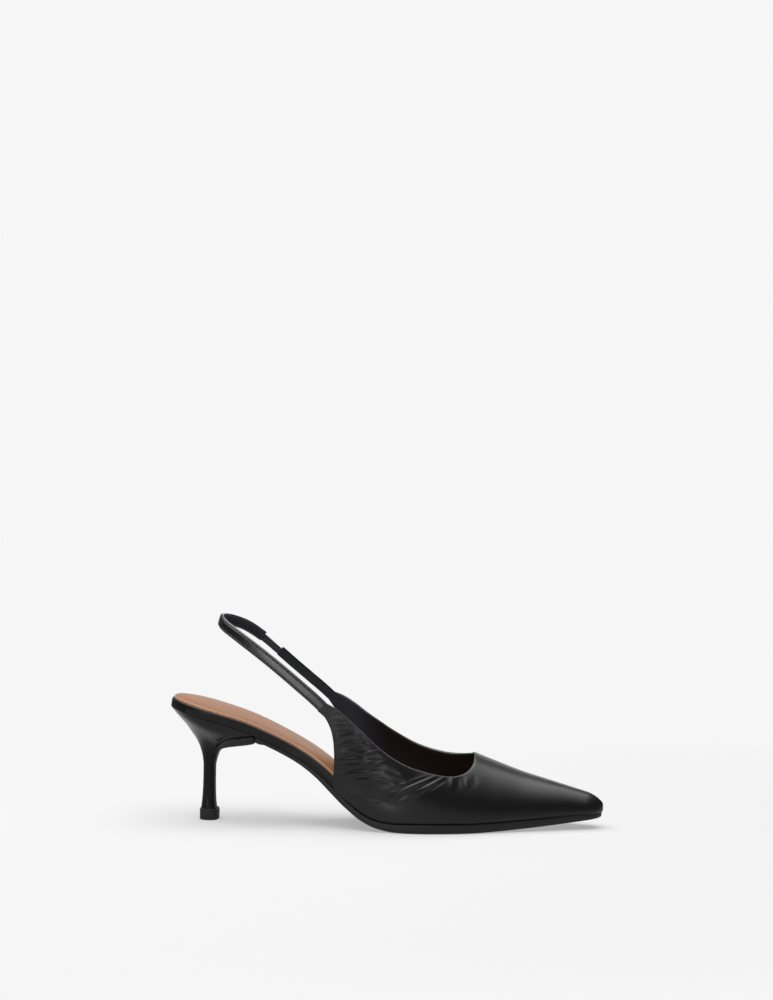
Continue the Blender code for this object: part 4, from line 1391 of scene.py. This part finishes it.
lift_bevel = quarter_round(TOP_PIECE_BEVEL, 6)
lift = [lift_ring(into, down) for into, down in lift_bevel]
lift += [lift_ring(TOP_PIECE_HEIGHT - down, into) for into, down in lift_bevel]
lift = np.concatenate([drawn_together(lift[0]), np.stack(lift), drawn_together(lift[-1])])
rubber_finish, tree, shader, spot = new_finish("lift_rubber", {"Specular IOR Level": 0.25})
film = film_at(tree, spot, scratches=0.4)
tinted(tree, shader, film, LIFT_DARK, LIFT_LIGHT)
glossed(tree, shader, film, 0.50, 0.75)
bumped(tree, shader, noise(tree, spot, 1800.0)["Fac"], strength=0.4, depth=0.00008)
top_piece = shoe_piece("rubber_lift", [(lift, False)], rubber_finish, sharp=40)
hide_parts("top_piece")


# Sock. Thin tan leather glued on the insole board from heel to toe, cut a little smaller than the board,
# so that the board's black wrapping shows round it. Its cut edge is paler than its face.

SOCK_INSET = 0.0012
SOCK_THICKNESS = 0.0010
SOCK_DOME = 0.0008
SOCK_EDGE_ROUNDING = 0.0005
SOCK_LIFT = 0.00002
SOCK_ACROSS = 30
SOCK_DARK, SOCK_LIGHT = (0.150, 0.054, 0.017, 1), (0.192, 0.080, 0.029, 1)
SOCK_CUT = (0.30, 0.17, 0.11, 1)

sock_rings = [(always(-SOCK_INSET), over_board(SOCK_LIFT))]
for into, down in quarter_round(SOCK_EDGE_ROUNDING, 6):
    sock_rings.append((always(-SOCK_INSET - into), over_board(FIT_GAP + SOCK_THICKNESS - down)))
sock_grid = layer(sock_rings, across=SOCK_ACROSS, dome=SOCK_DOME)
sock_side = len(sock_rings) - 1
cut_marks = np.zeros(sock_grid.shape[:2])
cut_marks[:, :sock_side] = 1
cut_marks[:, sock_side + 1 + SOCK_ACROSS :][:, :sock_side] = 1
sock_finish, tree, shader, spot = new_finish("tan_sock", {"Specular IOR Level": 0.26})
grain = grain_at(tree, spot, cells=1300.0, pores=0.4)
sock_tan = blended(tree, grain["Patch"], SOCK_DARK, SOCK_LIGHT)
tinted(tree, shader, attribute(tree, "cut_edge"), sock_tan, SOCK_CUT)
glossed(tree, shader, film_at(tree, spot, scratches=0.1), 0.36, 0.52)
bumped(tree, shader, grain["Height"], strength=0.4, depth=0.00004)
sock = shoe_piece("tan_sock", [(sock_grid, False)], sock_finish, {"cut_edge": cut_marks}, sharp=60)
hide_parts("sock_lining")


# Floor, light and camera. A pale matt floor that runs out into an even pale ground, one large soft light
# over the shoe with weaker ones at its sides, and the camera low on the lateral side.

FLOOR_RADIUS = 0.62
FLOOR_MIDDLE = 0.10
FLOOR_SIDES = 96
FLOOR_ALBEDO = 0.40
FLOOR_GLOW = 0.42
FLOOR_FADE = (0.20, 0.55)
GROUND_PALE = 0.922
WORLD_FILL = 0.08
WHITE = (1, 1, 1, 1)

floor_turn = np.arange(FLOOR_SIDES) * 2 * np.pi / FLOOR_SIDES
floor_x, floor_y = FLOOR_MIDDLE + FLOOR_RADIUS * np.cos(floor_turn), FLOOR_RADIUS * np.sin(floor_turn)
floor_rim = np.stack([floor_x, floor_y, 0 * floor_x], -1)
floor_mesh = bpy.data.meshes.new("floor")
floor_mesh.from_pydata(floor_rim.tolist(), [], [list(range(FLOOR_SIDES))])
floor = bpy.data.objects.new("floor", floor_mesh)
bpy.context.scene.collection.objects.link(floor)
floor_slots = {"Base Color": (FLOOR_ALBEDO,) * 3 + (1,), "Roughness": 0.9, "Specular IOR Level": 0.0}
floor_finish, tree, shader, spot = new_finish("pale_floor", floor_slots)
away = {0: spot, 1: (FLOOR_MIDDLE, 0, 0)}
away = add_node(tree, "ShaderNodeVectorMath", {"operation": "DISTANCE"}, away).outputs["Value"]
glow = add_node(tree, "ShaderNodeEmission", None, {"Color": WHITE, "Strength": GROUND_PALE})
floor_mix = {0: stepped(tree, away, *FLOOR_FADE, FLOOR_GLOW), 1: shader.outputs[0], 2: glow.outputs[0]}
floor_mix = add_node(tree, "ShaderNodeMixShader", None, floor_mix).outputs[0]
tree.links.new(floor_mix, tree.nodes["Material Output"].inputs["Surface"])
floor_mesh.materials.append(floor_finish)

world = bpy.data.worlds.new("studio")
world.use_nodes = True
bpy.context.scene.world = world
tree = world.node_tree
ground = tree.nodes["Background"]
ground.inputs["Color"].default_value = WHITE
ground.inputs["Strength"].default_value = WORLD_FILL
seen = add_node(tree, "ShaderNodeBackground", None, {"Color": WHITE, "Strength": GROUND_PALE})
eye = add_node(tree, "ShaderNodeLightPath").outputs["Is Camera Ray"]
pick = add_node(tree, "ShaderNodeMixShader", None, {0: eye, 1: ground.outputs[0], 2: seen.outputs[0]})
tree.links.new(pick.outputs[0], tree.nodes["World Output"].inputs["Surface"])


def soft_light(name, spot, aim, size, glow):
    """A rectangular soft light at a spot, turned to its aim, whose face glows evenly."""
    lamp = bpy.data.lights.new(name, "AREA")
    lamp.shape = "RECTANGLE"
    lamp.size, lamp.size_y = size
    lamp.energy = glow * np.pi * size[0] * size[1]
    made = bpy.data.objects.new(name, lamp)
    bpy.context.scene.collection.objects.link(made)
    made.visible_camera = False
    ahead = np.array(aim, float) - np.array(spot, float)
    tilt, heading = np.arccos(-ahead[2] / np.linalg.norm(ahead)), np.arctan2(ahead[1], ahead[0])
    made.location = spot
    made.rotation_euler = (tilt, 0, heading - np.pi / 2)


soft_light("over_shoe", (-0.10, -0.05, 1.3), (-0.10, -0.051, 0.0), (2.0, 2.0), 5.2)
soft_light("behind_shoe", (0.04, 0.6, 0.17), (0.04, 0.0, 0.16), (0.6, 0.32), 1.2)
soft_light("beside_camera", (-0.36, -1.17, 0.14), (0.05, 0.0, 0.08), (0.26, 0.36), 8.0)

CAMERA_AIM = (0.09979, 0.0, 0.18624)
CAMERA_AZIMUTH, CAMERA_TILT, CAMERA_ROLL = np.radians([4.0063, 2.0654, 0.8463])
CAMERA_DISTANCE = 1.5
CAMERA_SENSOR, CAMERA_LENS = 36.0, 94.067
CAMERA_RANGE = (0.05, 50.0)

camera_data = bpy.data.cameras.new("camera")
camera_data.sensor_width, camera_data.lens = CAMERA_SENSOR, CAMERA_LENS
camera_data.clip_start, camera_data.clip_end = CAMERA_RANGE
camera = bpy.data.objects.new("camera", camera_data)
bpy.context.scene.collection.objects.link(camera)
level_part = np.array([np.sin(CAMERA_AZIMUTH), -np.cos(CAMERA_AZIMUTH), 0]) * np.cos(CAMERA_TILT)
camera_back = level_part + [0, 0, np.sin(CAMERA_TILT)]
camera.location = np.array(CAMERA_AIM) + camera_back * CAMERA_DISTANCE
camera.rotation_mode = "XYZ"
camera.rotation_euler = (np.pi / 2 - CAMERA_TILT, 0, CAMERA_AZIMUTH)
camera.rotation_mode = "QUATERNION"
level_turn = camera.rotation_euler.to_quaternion()
camera.rotation_quaternion = level_turn @ type(level_turn)((0, 0, 1), CAMERA_ROLL)
bpy.context.scene.camera = camera
bpy.context.scene.view_settings.view_transform = "Standard"
